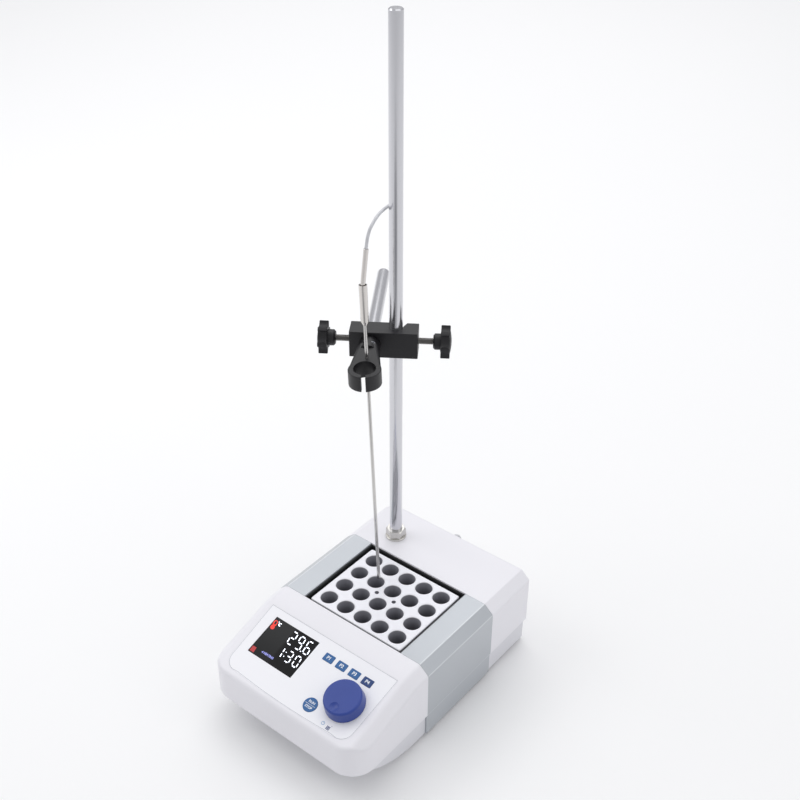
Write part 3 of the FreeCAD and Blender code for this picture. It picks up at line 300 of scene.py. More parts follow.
class Sheet:
    """The node tree of one material."""

    def __init__(self, name):
        self.material = bpy.data.materials.new(name)
        self.material.use_nodes = True
        self.tree = self.material.node_tree
        self.tree.nodes.clear()
        self.place = self.make("ShaderNodeTexCoord", {}, {}, "Object")
        self.x, self.y, self.z = (self.part(self.place, axis) for axis in "XYZ")

    def node(self, kind, settings=None, sockets=None):
        node = self.tree.nodes.new(kind)
        for key, value in (settings or {}).items():
            setattr(node, key, value)
        for key, value in (sockets or {}).items():
            socket = self.find(node.inputs, key)
            if isinstance(value, Signal):
                self.tree.links.new(value.socket, socket)
            elif isinstance(value, (int, float)) or not hasattr(socket, "default_value"):
                socket.default_value = value
            else:
                size = len(socket.default_value)
                socket.default_value = (list(value) + [1.0])[:size]
        return node

    def make(self, kind, settings=None, sockets=None, output=0):
        node = self.node(kind, settings, sockets)
        return Signal(self, self.find(node.outputs, output))

    @staticmethod
    def find(sockets, key):
        if isinstance(key, int):
            return sockets[key]
        exact = [s for s in sockets if s.identifier == key]
        return (exact or [s for s in sockets if s.name == key and s.enabled])[0]

    def part(self, vector, axis):
        """One of the three numbers of a vector."""
        return self.make("ShaderNodeSeparateXYZ", {}, {0: vector}, axis)

    def mix(self, share, first, second):
        """A colour between two colours."""
        sockets = {"Factor_Float": share, "A_Color": first, "B_Color": second}
        return self.make("ShaderNodeMix", {"data_type": "RGBA"}, sockets, "Result_Color")

    def noise(self, scale, detail=3.0, rough=0.55, stretch=None):
        """Even noise about 0.5. The stretch squeezes the pattern along each axis."""
        where = self.place
        if stretch:
            where = self.make("ShaderNodeMapping", {}, {"Vector": self.place, "Scale": stretch})
        sockets = {"Vector": where, "Scale": scale, "Detail": detail, "Roughness": rough}
        return self.make("ShaderNodeTexNoise", {}, sockets)

    def bump(self, height, depth, strength):
        sockets = {"Height": height, "Distance": depth, "Strength": strength}
        return self.make("ShaderNodeBump", {}, sockets)

    def finish(self, **sockets):
        """The last node: a Principled shader with these sockets."""
        named = {key.replace("_", " "): value for key, value in sockets.items()}
        shader = self.node("ShaderNodeBsdfPrincipled", {}, named)
        self.node("ShaderNodeOutputMaterial", {}, {"Surface": Signal(self, shader.outputs[0])})
        return self.material


def tint(red, green, blue):
    """A colour picked on a screen, from 0 to 255, as the light it stands for."""
    def linear(v):
        v /= 255
        return v / 12.92 if v <= 0.04045 else ((v + 0.055) / 1.055) ** 2.4
    return (linear(red), linear(green), linear(blue))


def dress(material, *names):
    for name in names:
        data = nodes[name].data if isinstance(name, str) else name.data
        data.materials.clear()
        data.materials.append(material)


print("shader helpers ready")

# %% [markdown]
# The housing is injection moulded and then has a fine, even grain. The grain hardly
# changes the colour: it spreads the highlights. Very wide, weak noise keeps the large
# faces from looking computed, and makes their gloss a little uneven.

# %% White plastic
def moulded_white(name, colour):
    s = Sheet(name)
    cloud = s.noise(18.0, 2.0)
    fine = s.noise(2600.0, 2.0, 0.6)
    base = s.mix(cloud * 0.22, colour, tuple(c * 0.94 for c in colour))
    rough = 0.36 + cloud * 0.10 + fine * 0.05
    return s.finish(Base_Color=base, Roughness=rough, Normal=s.bump(fine, 0.00004, 0.5),
                    Coat_Weight=0.06, Coat_Roughness=0.3)


dress(moulded_white("white_housing", tint(238, 237, 242)), "front_housing", "back_housing")
print("white plastic on the two housings")

# %% [markdown]
# The covers beside the well are lacquered sheet metal. The lacquer holds small flakes
# of metal, so it is half metallic, and a painted highlight makes the pressed edges paler.
# The Geometry node's Pointiness would show edges too, but it does not survive an export,
# so the painted highlight follows the distance to the two ridges and the lip.

# %% Grey lacquered metal
half_width, top, ridge, shoulder, lip = 0.088, 0.086, 0.0784, 0.0776, 0.0285
middle_x, middle_y = block_middle.x, block_middle.y


def lacquer(name):
    s = Sheet(name)
    flake = s.noise(5200.0, 1.0, 0.5)
    cloud = s.noise(14.0, 2.0)
    side = abs(s.x - middle_x)
    upper_ridge = abs(side - ridge) + abs(s.z - top)
    lower_ridge = abs(side - half_width) + abs(s.z - shoulder)
    lip_line = abs(s.z - lip)
    # painted highlight: a paler colour along the two ridges and the lip
    edge_highlight = 1 - upper_ridge.least(lower_ridge).least(lip_line * 1.6).ramp(0.0002, 0.0011)
    shade = s.mix(cloud * 0.35 + flake * 0.12, tint(192, 196, 201), tint(174, 179, 184))
    base = s.mix(edge_highlight * 0.7, shade, tint(226, 229, 232))
    return s.finish(Base_Color=base, Metallic=0.42, Roughness=0.34 + flake * 0.08,
                    Normal=s.bump(flake, 0.00002, 0.4), Coat_Weight=0.25, Coat_Roughness=0.22)


dress(lacquer("grey_lacquer"), "left_side_panel", "right_side_panel")
print("grey lacquer on the two covers")


# %% [markdown]
# The base tray and the liner of the well are sheet steel with a powder coat. The powder
# melts in an oven and sets with a skin like orange peel. Even noise of a middling size,
# used as a low bump, gives that skin without a single extra face.

# %% Powder coat
def powder(name, colour, depth):
    s = Sheet(name)
    orange = s.noise(900.0, 2.0, 0.5)
    base = s.mix(orange * 0.3, colour, tuple(c * 0.85 for c in colour))
    return s.finish(Base_Color=base, Roughness=0.5 + orange * 0.12, Normal=s.bump(orange, depth, 0.5))


dress(powder("tray_coat", tint(226, 226, 231), 0.00006), "base_tray")
dress(powder("well_black", tint(24, 24, 26), 0.00004), "well_liner")
print("powder coat on the tray and the well")

# %% [markdown]
# The tube block is bead blasted aluminium, nearly white. The boring tool leaves rings in
# its deep bores, so below the top face the bump turns to fine rings, and a painted shade
# makes the colour darker with depth, where light gets lost. The rims are cut bright metal,
# and their paler colour is a painted highlight. The fraction of a place divided by the
# pitch repeats once per bore, so one circle drawn with it gives all the rims at once.

# %% Aluminium block
block_top, bore_radius = 0.083, 0.0081
columns, rows, pitch_x, pitch_y = 5, 4, 0.0202, 0.0215
bored_half_x, bored_half_y, ring_pitch = 0.0519, 0.0432, 0.00045


def blasted_block():
    s = Sheet("blasted_aluminium")
    grit = s.noise(3800.0, 2.0, 0.6)
    cloud = s.noise(30.0, 2.0)
    across = abs(s.x - middle_x)
    along = abs(s.y - middle_y)
    inside = (across < bored_half_x) * (along < bored_half_y) * (s.z < block_top - 0.0004)
    # painted shade: the bore walls get darker the deeper they go
    depth = (block_top - s.z).ramp(0.0, 0.03)
    rings = (s.z * (2 * math.pi / ring_pitch)).sine() * 0.5 + 0.5
    face = s.mix(cloud * 0.4 + grit * 0.15, tint(238, 238, 243), tint(222, 222, 228))
    wall = s.mix(depth, tint(176, 176, 184), tint(96, 96, 104))
    cell_x = (((s.x - middle_x) / pitch_x + columns / 2).fraction() - 0.5) * pitch_x
    cell_y = (((s.y - middle_y) / pitch_y + rows / 2).fraction() - 0.5) * pitch_y
    away = (cell_x * cell_x + cell_y * cell_y) ** 0.5
    # painted highlight: a paler ring on the cut rim of each bore
    rim_highlight = (1 - abs(away - bore_radius - 0.0003).ramp(0.0002, 0.0006)) * (s.z > block_top - 0.0009)
    base = s.mix(rim_highlight * 0.8, s.mix(inside, face, wall), tint(250, 250, 253))
    height = grit * (1 - inside) + rings * inside * 0.6
    return s.finish(Base_Color=base, Metallic=0.35 - inside * 0.1, Roughness=0.46 - inside * 0.04,
                    Normal=s.bump(height, 0.00003, 0.5))


dress(blasted_block(), "tube_block", "block_base")
print("block finished")


# %% [markdown]
# The seal round the block and the feet are rubber, the inlet and the switch frame are
# black mouldings, and glass felt and a heater foil lie inside. Little of them shows, so
# each gets one noise and one colour. The tracks of the foil are a sine along x that is
# cut off at one level, because a stripe needs no picture.

# %% Soft and plain finishes
def rubber(name, colour, rough=0.72, grain=900.0):
    s = Sheet(name)
    fine = s.noise(grain, 3.0)
    base = s.mix(fine * 0.5, colour, tuple(c * 1.35 for c in colour))
    return s.finish(Base_Color=base, Roughness=rough - fine * 0.08, Normal=s.bump(fine, 0.00005, 0.5))


dress(rubber("seal_rubber", tint(14, 14, 15)), "well_seal")
dress(rubber("foot_rubber", tint(34, 34, 36), 0.8), "rubber_feet")
dress(rubber("black_moulding", tint(26, 26, 28), 0.45, 2200.0),
      "power_inlet", "rocker_frame", "display_module")
dress(rubber("switch_black", tint(18, 18, 20), 0.5), "key_switches")


def felt():
    s = Sheet("glass_felt")
    hair = s.noise(420.0, 6.0, 0.7, (1, 1, 4))
    base = s.mix(hair, tint(176, 170, 150), tint(222, 218, 204))
    return s.finish(Base_Color=base, Roughness=0.95, Sheen_Weight=0.3, Normal=s.bump(hair, 0.0004, 0.7))


def heater_foil():
    s = Sheet("heater_foil")
    track_pitch = 0.006
    lines = (s.x * (2 * math.pi / track_pitch)).sine() > 0.35
    base = s.mix(lines, tint(178, 96, 40), tint(206, 150, 96))
    return s.finish(Base_Color=base, Metallic=lines * 0.7, Roughness=0.4)


dress(felt(), "heater_insulation")
dress(heater_foil(), "heater_plate")
print("rubber, felt and foil done")

# %% [markdown]
# Both rods and the probe are ground and polished steel. Grinding leaves hair lines
# round a turned rod, so the noise is squeezed along the rod's own direction. A metal
# this smooth shows little of its own: its light and dark stripes are the room.

# %% Steel
def ground_steel(name, colour, rough, stretch):
    s = Sheet(name)
    hair = s.noise(260.0, 4.0, 0.6, stretch)
    smear = s.noise(22.0, 3.0, 0.55)
    base = s.mix(hair * 0.35, colour, tuple(c * 0.86 for c in colour))
    return s.finish(Base_Color=base, Metallic=1.0, Roughness=rough + hair * 0.07 + smear * 0.05,
                    Normal=s.bump(hair, 0.000004, 0.6))


rod_steel = ground_steel("rod_steel", tint(214, 214, 218), 0.13, (1, 1, 14))
arm_steel = ground_steel("arm_steel", tint(206, 206, 210), 0.16, (8, 8, 1))
probe_steel = ground_steel("probe_steel", tint(206, 204, 202), 0.12, (1, 1, 10))
sleeve_steel = ground_steel("sleeve_steel", tint(220, 216, 212), 0.10, (1, 1, 10))
nut_steel = ground_steel("plated_nut", tint(212, 210, 206), 0.2, (6, 6, 1))
zinc = ground_steel("zinc", tint(186, 188, 194), 0.34, (1, 1, 1))
dress(rod_steel, "support_rod")
dress(arm_steel, "arm_rod")
dress(probe_steel, "probe_tube")
dress(sleeve_steel, "probe_handle", "probe_sleeve")
dress(nut_steel, "rod_nut", "sensor_socket", "cable_plug")
dress(zinc, "rod_socket", "tray_screws", "board_screws", "rotary_encoder", "encoder_shaft",
      "holder_grub_screw")
print("steel finished")

# %% [markdown]
# The clamp head and the probe holder are cast and sprayed satin black, and the star
# grips are black plastic. Black is never quite black in a photograph: the paint is a
# dark violet grey with a soft sheen, and a little cloudy where it was sprayed.

# %% Black finishes
def satin_black(name, colour, rough, grain, depth):
    s = Sheet(name)
    fine = s.noise(grain, 3.0, 0.6)
    cloud = s.noise(40.0, 2.0)
    base = s.mix(cloud * 0.5 + fine * 0.2, colour, tuple(c * 1.6 for c in colour))
    return s.finish(Base_Color=base, Roughness=rough + fine * 0.1 + cloud * 0.05,
                    Normal=s.bump(fine, depth, 0.5))


dress(satin_black("sprayed_black", tint(13, 12, 16), 0.34, 1500.0, 0.00005),
      "clamp_head", "probe_holder")
dress(satin_black("grip_black", tint(15, 14, 18), 0.40, 2200.0, 0.00003),
      "arm_clamp_knob", "rod_clamp_knob")
print("black finishes done")


# %% [markdown]
# The clamp screws are M6 studs. A thread is a shape that follows a rule, so Geometry
# Nodes make it: a grid is bent round an axis, and its radius follows a saw-tooth that
# climbs by one pitch in each turn. The same tree serves both screws.

# %% Geometry Nodes: a threaded stud
class Plan:
    """A small wrapper for building geometry trees."""

    def __init__(self, name, inputs):
        self.tree = bpy.data.node_groups.new(name, "GeometryNodeTree")
        self.sockets = {}
        face = self.tree.interface
        for label, kind, default in inputs:
            socket = face.new_socket(name=label, in_out="INPUT", socket_type=kind)
            socket.default_value = default
            self.sockets[label] = socket
        face.new_socket(name="Geometry", in_out="OUTPUT", socket_type="NodeSocketGeometry")
        self.given = self.tree.nodes.new("NodeGroupInput")
        self.result = self.tree.nodes.new("NodeGroupOutput")

    def asked(self, label):
        return next(s for s in self.given.outputs if s.name == label)

    def make(self, kind, settings=None, sockets=None, output=0):
        node = self.tree.nodes.new(kind)
        for key, value in (settings or {}).items():
            setattr(node, key, value)
        for key, value in (sockets or {}).items():
            socket = node.inputs[key] if isinstance(key, int) else Sheet.find(node.inputs, key)
            if isinstance(value, bpy.types.NodeSocket):
                self.tree.links.new(value, socket)
            else:
                socket.default_value = value
        return node.outputs[output] if isinstance(output, int) else Sheet.find(node.outputs, output)

    def math(self, operation, first, second=0.0):
        return self.make("ShaderNodeMath", {"operation": operation}, {0: first, 1: second})

    def close(self, geometry, material):
        real = self.make("GeometryNodeRealizeInstances", {}, {"Geometry": geometry})
        painted = self.make("GeometryNodeSetMaterial", {}, {"Geometry": real, "Material": material})
        self.tree.links.new(painted, self.result.inputs[0])

    def build(self, name, values):
        """Runs the tree on an empty mesh with these inputs, and keeps the result as a plain mesh."""
        holder = bpy.data.objects.new(name + "_source", bpy.data.meshes.new(name + "_source"))
        scene.collection.objects.link(holder)
        modifier = holder.modifiers.new("plan", "NODES")
        modifier.node_group = self.tree
        for label, value in values.items():
            modifier[self.sockets[label].identifier] = value
        piece = evaluated_copy(holder, name)
        drop(holder)
        return piece


thread = Plan("thread", [
    ("Length", "NodeSocketFloat", 0.02),
    ("Radius", "NodeSocketFloat", 0.003),
    ("Depth", "NodeSocketFloat", 0.0005),
    ("Pitch", "NodeSocketFloat", 0.001),
    ("Rings", "NodeSocketInt", 100),
])
sides = 28
grid = thread.make("GeometryNodeMeshGrid", {}, {
    "Size X": 1.0, "Size Y": 1.0, "Vertices X": thread.asked("Rings"), "Vertices Y": sides + 1})
spot = thread.make("GeometryNodeInputPosition")
spot_x = thread.make("ShaderNodeSeparateXYZ", {}, {0: spot}, "X")
spot_y = thread.make("ShaderNodeSeparateXYZ", {}, {0: spot}, "Y")
share = thread.math("ADD", spot_x, 0.5)
along = thread.math("MULTIPLY", share, thread.asked("Length"))
angle = thread.math("MULTIPLY", spot_y, 2 * math.pi)
climb = thread.math("ADD", thread.math("DIVIDE", along, thread.asked("Pitch")), spot_y)
tooth = thread.math("PINGPONG", climb, 0.5)
cut = thread.math("MULTIPLY", thread.math("MULTIPLY", tooth, 2.0), thread.asked("Depth"))
reach = thread.math("SUBTRACT", thread.asked("Radius"), cut)
side = thread.math("MULTIPLY", reach, thread.math("COSINE", angle))
height = thread.math("MULTIPLY", reach, thread.math("SINE", angle))
bent = thread.make("ShaderNodeCombineXYZ", {}, {"X": along, "Y": side, "Z": height})
wrapped = thread.make("GeometryNodeSetPosition", {}, {"Geometry": grid, "Position": bent})
joined = thread.make("GeometryNodeMergeByDistance", {}, {"Geometry": wrapped, "Distance": 0.00001})
soft = thread.make("GeometryNodeSetShadeSmooth", {}, {"Geometry": joined, "Shade Smooth": False})
stud_steel = ground_steel("stud_steel", tint(150, 148, 146), 0.36, (1, 1, 1))
thread.close(soft, stud_steel)

# %% The two clamp screws
clamp_turn = math.radians(34.5)
clamp_axis = Vector((math.cos(clamp_turn), math.sin(clamp_turn), 0))
clamp_back = Vector((-math.sin(clamp_turn), math.cos(clamp_turn), 0))
clamp_middle = place((-45.7, 72.0, 309.0))
stud_radius, thread_depth, thread_pitch, rings_per_turn = 0.003, 0.00045, 0.001, 8


def set_in_place(piece, origin, x_axis, y_axis):
    """Turns and moves the points of a mesh. Its object stays at the origin."""
    z_axis = x_axis.cross(y_axis)
    frame_of_piece = Matrix((x_axis, y_axis, z_axis)).transposed().to_4x4()
    piece.data.transform(Matrix.Translation(origin) @ frame_of_piece)


for name, start, stop, body in (
    ("arm_clamp_screw", -53.2, -28.1, "arm_clamp_screw"),
    ("rod_clamp_screw", 6.1, 32.5, "rod_clamp_screw"),
):
    span = (stop - start) / 1000
    stud = thread.build(name + "_thread", {
        "Length": span, "Radius": stud_radius, "Depth": thread_depth, "Pitch": thread_pitch,
        "Rings": int(span / thread_pitch * rings_per_turn)})
    set_in_place(stud, clamp_middle + clamp_axis * start / 1000, clamp_axis, clamp_back)
    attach(stud, body)
    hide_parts(name)
    print(stud.name, len(stud.data.polygons), "faces")

# %% [markdown]
# The panel slopes down towards the reader. Everything printed on it is laid out in the
# panel's own plane: x to the right, y up the slope, and a small height above the film,
# so that no two faces share one plane.

# %% The panel's plane
slope = math.radians(17.2)
slope_start, film_drop, housing_top = -63.15, 9.45, 86
panel_origin = place((0, slope_start - film_drop * math.cos(slope),
                      housing_top - film_drop * math.sin(slope)))
panel_x = Vector((1, 0, 0))
panel_y = Vector((0, math.cos(slope), math.sin(slope)))
panel_out = panel_x.cross(panel_y)


def on_panel(x, y, height=0.0):
    return panel_origin + (panel_x * x + panel_y * y + panel_out * height) / 1000


def flat_shapes(name, shapes, height, material, body):
    """Thin printed shapes, each a list of (x, y) in millimetres on the panel."""
    points, faces = [], []
    for shape in shapes:
        faces.append(tuple(range(len(points), len(points) + len(shape))))
        points += [on_panel(x, y, height) for x, y in shape]
    piece = mesh_piece(name, points, faces, smooth=False)
    if piece.data.polygons[0].normal.dot(panel_out) < 0:
        piece.data.flip_normals()
    dress(material, piece)
    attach(piece, body)
    return piece


full_turn = 2 * math.pi


def circle(x, y, radius, steps, start=0.0, sweep=full_turn):
    """Points round a whole circle, or along an arc with both its ends."""
    count = steps if sweep == full_turn else steps + 1
    angles = [start + sweep * i / steps for i in range(count)]
    return [(x + radius * math.cos(a), y + radius * math.sin(a)) for a in angles]


print("panel plane at", tuple(round(c, 4) for c in panel_origin))


# %% [markdown]
# The panel wears a printed white film, with blue keys that stand a little above it and
# dark glass over the display. All three are smooth, so colour and gloss tell them apart.
# Only the glass needs a mask, for a painted reflection: a grey sheen on its left part.

# %% Printed film, glass and keys
def film():
    s = Sheet("printed_film")
    fine = s.noise(3000.0, 2.0)
    cloud = s.noise(20.0, 2.0)
    base = s.mix(cloud * 0.2, tint(245, 245, 249), tint(238, 238, 243))
    return s.finish(Base_Color=base, Roughness=0.3 + fine * 0.1, Normal=s.bump(fine, 0.00001, 0.4))


def dark_glass():
    """Black glass. Its unlit left half shows the paler crystal layer, which fades to the front."""
    s = Sheet("dark_glass")
    # Black glass, with a painted grey sheen of reflection on its left, fading to the front.
    cloud = s.noise(30.0, 2.0)
    edge_x, far_y, near_y = on_panel(-37.1, 0).x, on_panel(0, -8).y, on_panel(0, -48).y
    # painted reflection: the grey sheen on the left of the glass, fading towards the front
    painted_sheen = 1 - s.x.ramp(edge_x - 0.0022, edge_x + 0.0022)
    sheen_fade = s.y.ramp(near_y - 0.004, far_y)
    base = s.mix(painted_sheen * (0.25 + sheen_fade * 0.65 + cloud * 0.1), tint(4, 4, 7), tint(46, 47, 48))
    return s.finish(Base_Color=base, Roughness=0.34 + cloud * 0.05, Specular_IOR_Level=0.18)


def key_blue(name, colour):
    s = Sheet(name)
    fine = s.noise(2400.0, 2.0)
    cloud = s.noise(60.0, 2.0)
    base = s.mix(cloud * 0.4, colour, tuple(c * 0.8 for c in colour))
    return s.finish(Base_Color=base, Roughness=0.38 + fine * 0.08, Normal=s.bump(fine, 0.00001, 0.4))


dress(film(), "panel_skin")
dress(dark_glass(), "display_window")
dress(key_blue("key_blue", tint(38, 98, 158)),
      "program_key_1", "program_key_2", "program_key_3", "run_stop_key")
dress(key_blue("key_deep_blue", tint(24, 62, 122)), "program_key_4")
dress(powder("board_green", tint(28, 96, 58), 0.00002), "control_board", "power_supply")
print("film, glass and keys dressed")


# %% [markdown]
# The knob is moulded in deep blue. Its face is turned smooth, so the finest rings run
# round its middle, and the finger dimple catches the light.

# %% Knob
def knob_blue():
    s = Sheet("knob_blue")
    knob_middle, turning_pitch = on_panel(48.0, -41.0, 12.0), 0.0004
    offset = s.make("ShaderNodeVectorMath", {"operation": "SUBTRACT"}, {0: s.place, 1: knob_middle})
    distance = s.make("ShaderNodeVectorMath", {"operation": "LENGTH"}, {0: offset}, "Value")
    rings = (distance * (2 * math.pi / turning_pitch)).sine() * 0.5 + 0.5
    fine = s.noise(2600.0, 2.0)
    cloud = s.noise(45.0, 2.0)
    base = s.mix(cloud * 0.45, tint(38, 66, 152), tint(30, 54, 132))
    return s.finish(Base_Color=base, Roughness=0.33 + fine * 0.08,
                    Normal=s.bump(rings * 0.25 + fine, 0.000012, 0.5),
                    Coat_Weight=0.15, Coat_Roughness=0.3)


dress(knob_blue(), "control_knob")
print("knob dressed")


# %% [markdown]
# The display shows two rows of seven-segment figures. Each figure is seven thin bars
# with a gap between them, switched on or off by a table of which bars a figure needs.
# The bars lean a little, as they do in the real display, and they give off light.

# %% Seven-segment figures
def glow(name, colour, strength):
    """A lit crystal. It is not quite even, because the lamp behind it stands to one side."""
    s = Sheet(name)
    cloud = s.noise(160.0, 2.0)
    light = s.mix(cloud * 0.5, colour, tuple(c * 0.78 for c in colour))
    return s.finish(Base_Color=tuple(c * 0.2 for c in colour), Emission_Color=light,
                    Emission_Strength=strength, Roughness=0.5)


def ink(name, colour):
    s = Sheet(name)
    fine = s.noise(2600.0, 2.0)
    base = s.mix(fine * 0.3, colour, tuple(c * 0.85 for c in colour))
    return s.finish(Base_Color=base, Roughness=0.45)


lit_bars = {"0": "abcdef", "1": "bc", "2": "abged", "3": "abgcd", "6": "afgedc", "9": "abfgcd"}
lean = -0.15


def bar(x0, y0, x1, y1, thick):
    """A bar with blunt points from one corner of a figure to the next."""
    length = math.hypot(x1 - x0, y1 - y0)
    ax, ay = (x1 - x0) / length, (y1 - y0) / length
    half, gap = thick / 2, thick * 0.75
    outline = [(gap, 0), (gap + half, half), (length - gap - half, half), (length - gap, 0),
               (length - gap - half, -half), (gap + half, -half)]
    return [(x0 + ax * u - ay * v, y0 + ay * u + ax * v) for u, v in outline]


def figure(sign, left, foot, width, tall, thick):
    right_side, middle, head = left + width, foot + tall / 2, foot + tall
    ends = {
        "a": (left, head, right_side, head),
        "g": (left, middle, right_side, middle),
        "d": (left, foot, right_side, foot),
        "f": (left, middle, left, head), "b": (right_side, middle, right_side, head),
        "e": (left, foot, left, middle), "c": (right_side, foot, right_side, middle),
    }
    bars = [bar(*ends[key], thick) for key in lit_bars[sign]]
    return [[(x + (y - foot) * lean, y) for x, y in shape] for shape in bars]


first_row = [("2", -35.6), ("9", -26.2), ("6", -16.8)]
second_row = [("1", -36.4), ("3", -25.8), ("0", -16.8)]
on_glass = 0.05
white_light = glow("white_light", (0.86, 0.9, 1.0), 2.6)
shapes = []
for sign, left in first_row:
    shapes += figure(sign, left, foot=-23.7, width=5.3, tall=12.4, thick=0.95)
for sign, left in second_row:
    shapes += figure(sign, left, foot=-38.5, width=5.0, tall=10.4, thick=0.9)
point, colon = circle(-18.9, -23.6, 0.55, 20), [(-29.4, -31.2), (-28.8, -35.4)]
shapes += [point] + [circle(x, y, 0.45, 20) for x, y in colon]
digits = flat_shapes("display_figures", shapes, on_glass, white_light, "housing")
print("figures", len(digits.data.polygons), "bars")

# %% [markdown]
# The display also has a thermometer, a unit, and a lamp in its corner. They are drawn as
# outlines from a few arcs: a pill is two half circles, and a ring is the strip between
# two outlines. Light has no thickness here, so flat faces just above the glass will do.

# %% Small signs in the display
def pill(x, y, wide, tall, steps=10):
    """An upright pill, round at both ends, that leans with the figures."""
    r, reach = wide / 2, (tall - wide) / 2
    outline = circle(x, y + reach, r, steps, 0, math.pi)
    outline += circle(x, y - reach, r, steps, math.pi, math.pi)
    return [(px + (py - y) * lean, py) for px, py in outline]


def ring_between(outer, inner):
    """The quads between two outlines with as many points each."""
    count = len(outer)
    return [[outer[i], outer[(i + 1) % count], inner[(i + 1) % count], inner[i]] for i in range(count)]


red_light = glow("red_light", (0.86, 0.045, 0.03), 1.0)
bulb = ring_between(pill(-58.4, -14.0, 4.4, 6.2), pill(-58.3, -13.6, 1.9, 3.4))
bulb.append(pill(-57.9, -18.3, 4.6, 4.7))
red_signs = flat_shapes("display_thermometer", bulb, on_glass, red_light, "housing")
lamp_square = [[(-60.4, -47.2), (-55.4, -47.2), (-56.2, -42.0), (-60.6, -42.0)]]
dim_red_light = glow("dim_red_light", (0.42, 0.03, 0.035), 1.0)
flat_shapes("display_red_lamp", lamp_square, on_glass, dim_red_light, "housing")
degree = [circle(-55.9, -11.2, 0.5, 16)]
mid_x, mid_y, inner_share = -53.3, -12.9, 0.55
arc = circle(mid_x, mid_y, 1.7, 14, math.radians(50), math.radians(260))
arc += [(mid_x + (x - mid_x) * inner_share, mid_y + (y - mid_y) * inner_share)
        for x, y in reversed(arc)]
unit_sign = flat_shapes("display_unit", degree + [arc], on_glass, white_light, "housing")
print("signs", red_signs.name, unit_sign.name)


# %% [markdown]
# Words are made from Blender's own font as flat text, turned into a mesh, and only then
# laid on the panel. The keys carry plain programme numbers, and the round key says what
# it does.

# %% Words on the panel
def words(name, text, x, y, size, height, material, body, stretch=1.0, bold=0.0):
    curve = bpy.data.curves.new(name, "FONT")
    curve.body = text
    curve.size = size / 1000
    curve.align_x = "CENTER"
    curve.align_y = "CENTER"
    curve.offset = bold / 1000
    curve.resolution_u = 4
    source = bpy.data.objects.new(name + "_source", curve)
    scene.collection.objects.link(source)
    piece = evaluated_copy(source, name)
    drop(source)
    piece.data.transform(Matrix.Diagonal((stretch, 1, 1, 1)))
    set_in_place(piece, on_panel(x, y, height), panel_x, panel_y)
    dress(material, piece)
    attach(piece, body)


white_ink = ink("white_ink", tint(236, 240, 246))
blue_ink = ink("blue_ink", tint(34, 62, 122))
key_height, ink_lift = 0.35, 0.03
key_face = key_height + ink_lift
first_key_x, key_pitch, key_row_y, round_key_x = 7.9, 14.65, -15.3, 22.8
for i in range(4):
    number = i + 1
    words(f"key_{number}_label", f"P{number}", first_key_x + i * key_pitch, key_row_y, 4.4, key_face,
          white_ink, f"program_key_{number}", 1.0, 0.12)
words("run_label", "RUN", round_key_x, -55.9, 3.1, key_face,
      white_ink, "run_stop_key", 1.05, 0.1)
words("stop_label", "STOP", round_key_x, -60.9, 3.1, key_face,
      white_ink, "run_stop_key", 1.0, 0.1)
line_start, line_end, line_foot, line_head = round_key_x - 5.4, round_key_x + 5.4, -58.45, -58.15
line = [[(line_start, line_foot), (line_end, line_foot), (line_end, line_head), (line_start, line_head)]]
flat_shapes("run_stop_line", line, key_face, white_ink, "run_stop_key")
violet_light = glow("violet_light", (0.30, 0.32, 0.78), 1.1)
words("heating_label", "HEATING", -41.2, -42.4, 3.0, on_glass,
      violet_light, "housing", 0.92, 0.12)
arrow = [[(-47.9, -41.2), (-49.6, -42.4), (-47.9, -43.6)]]
flat_shapes("heating_arrow", arrow, on_glass, violet_light, "housing")
print("labels placed")


# %% [markdown]
# The rim of the film shows as a thin grey line. One function works out the outline at
# any inset, with a bowed front edge between two arcs, and the faces between two insets
# are the line. Under the knob the film carries a small dial and a level sign.

# %% The thin line round the film, and two small signs under the knob
def film_edge(inset):
    """Outline of the printed film, set in by this much, in millimetres on the panel."""
    bow, tall, steps = 2.3, 71.4, 24
    top_half, low_half, down = 73.8 - inset, 71.6 - inset, -(tall - bow) + inset
    corner = 12.0 - inset
    corner_y = down + corner * 0.92
    chord = low_half - corner
    points = [(-top_half, -inset)]
    points += circle(-chord, corner_y, corner, 14, math.pi * 1.0, math.pi * 0.46)
    for i in range(1, steps):
        off_middle = 2 * i / steps - 1
        points.append((-chord + 2 * chord * i / steps, down - bow * (1 - off_middle ** 2) + 0.12))
    points += circle(chord, corner_y, corner, 14, math.pi * 1.54, math.pi * 0.46)
    points += [(top_half, -inset)]
    return points


outer, inner_line = film_edge(0.2), film_edge(0.5)
count = len(outer)
points = [on_panel(x, y, 0.02) for x, y in outer + inner_line]
faces = [(i, (i + 1) % count, count + (i + 1) % count, count + i) for i in range(count)]
edge_line = mesh_piece("film_edge_line", points, faces, smooth=False)
if edge_line.data.polygons[0].normal.dot(panel_out) < 0:
    edge_line.data.flip_normals()
dress(ink("grey_ink", tint(176, 178, 186)), edge_line)
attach(edge_line, "housing")

dial = ring_between(circle(43.2, -65.2, 1.7, 24), circle(43.2, -65.2, 1.25, 24))
dial.append([(43.0, -65.4), (43.4, -65.4), (43.4, -64.1), (43.0, -64.1)])
pale_blue_ink = ink("pale_blue_ink", tint(134, 172, 208))
flat_shapes("dial_sign", dial, ink_lift, pale_blue_ink, "housing")
bars = [[(47.9, y), (51.5, y), (51.5, y + 0.62), (47.9, y + 0.62)] for y in (-68.2, -67.3, -66.4, -65.5)]
bars.append(circle(51.9, -63.6, 0.32, 12))
flat_shapes("level_sign", bars, ink_lift, blue_ink, "housing")
print("outline has", count, "points")

# %% [markdown]
# The lead is clear silicone over twisted wires, so it looks light grey with a faint
# twist. The tube's own map has u round it and v along it, which makes a twist a
# simple sum.

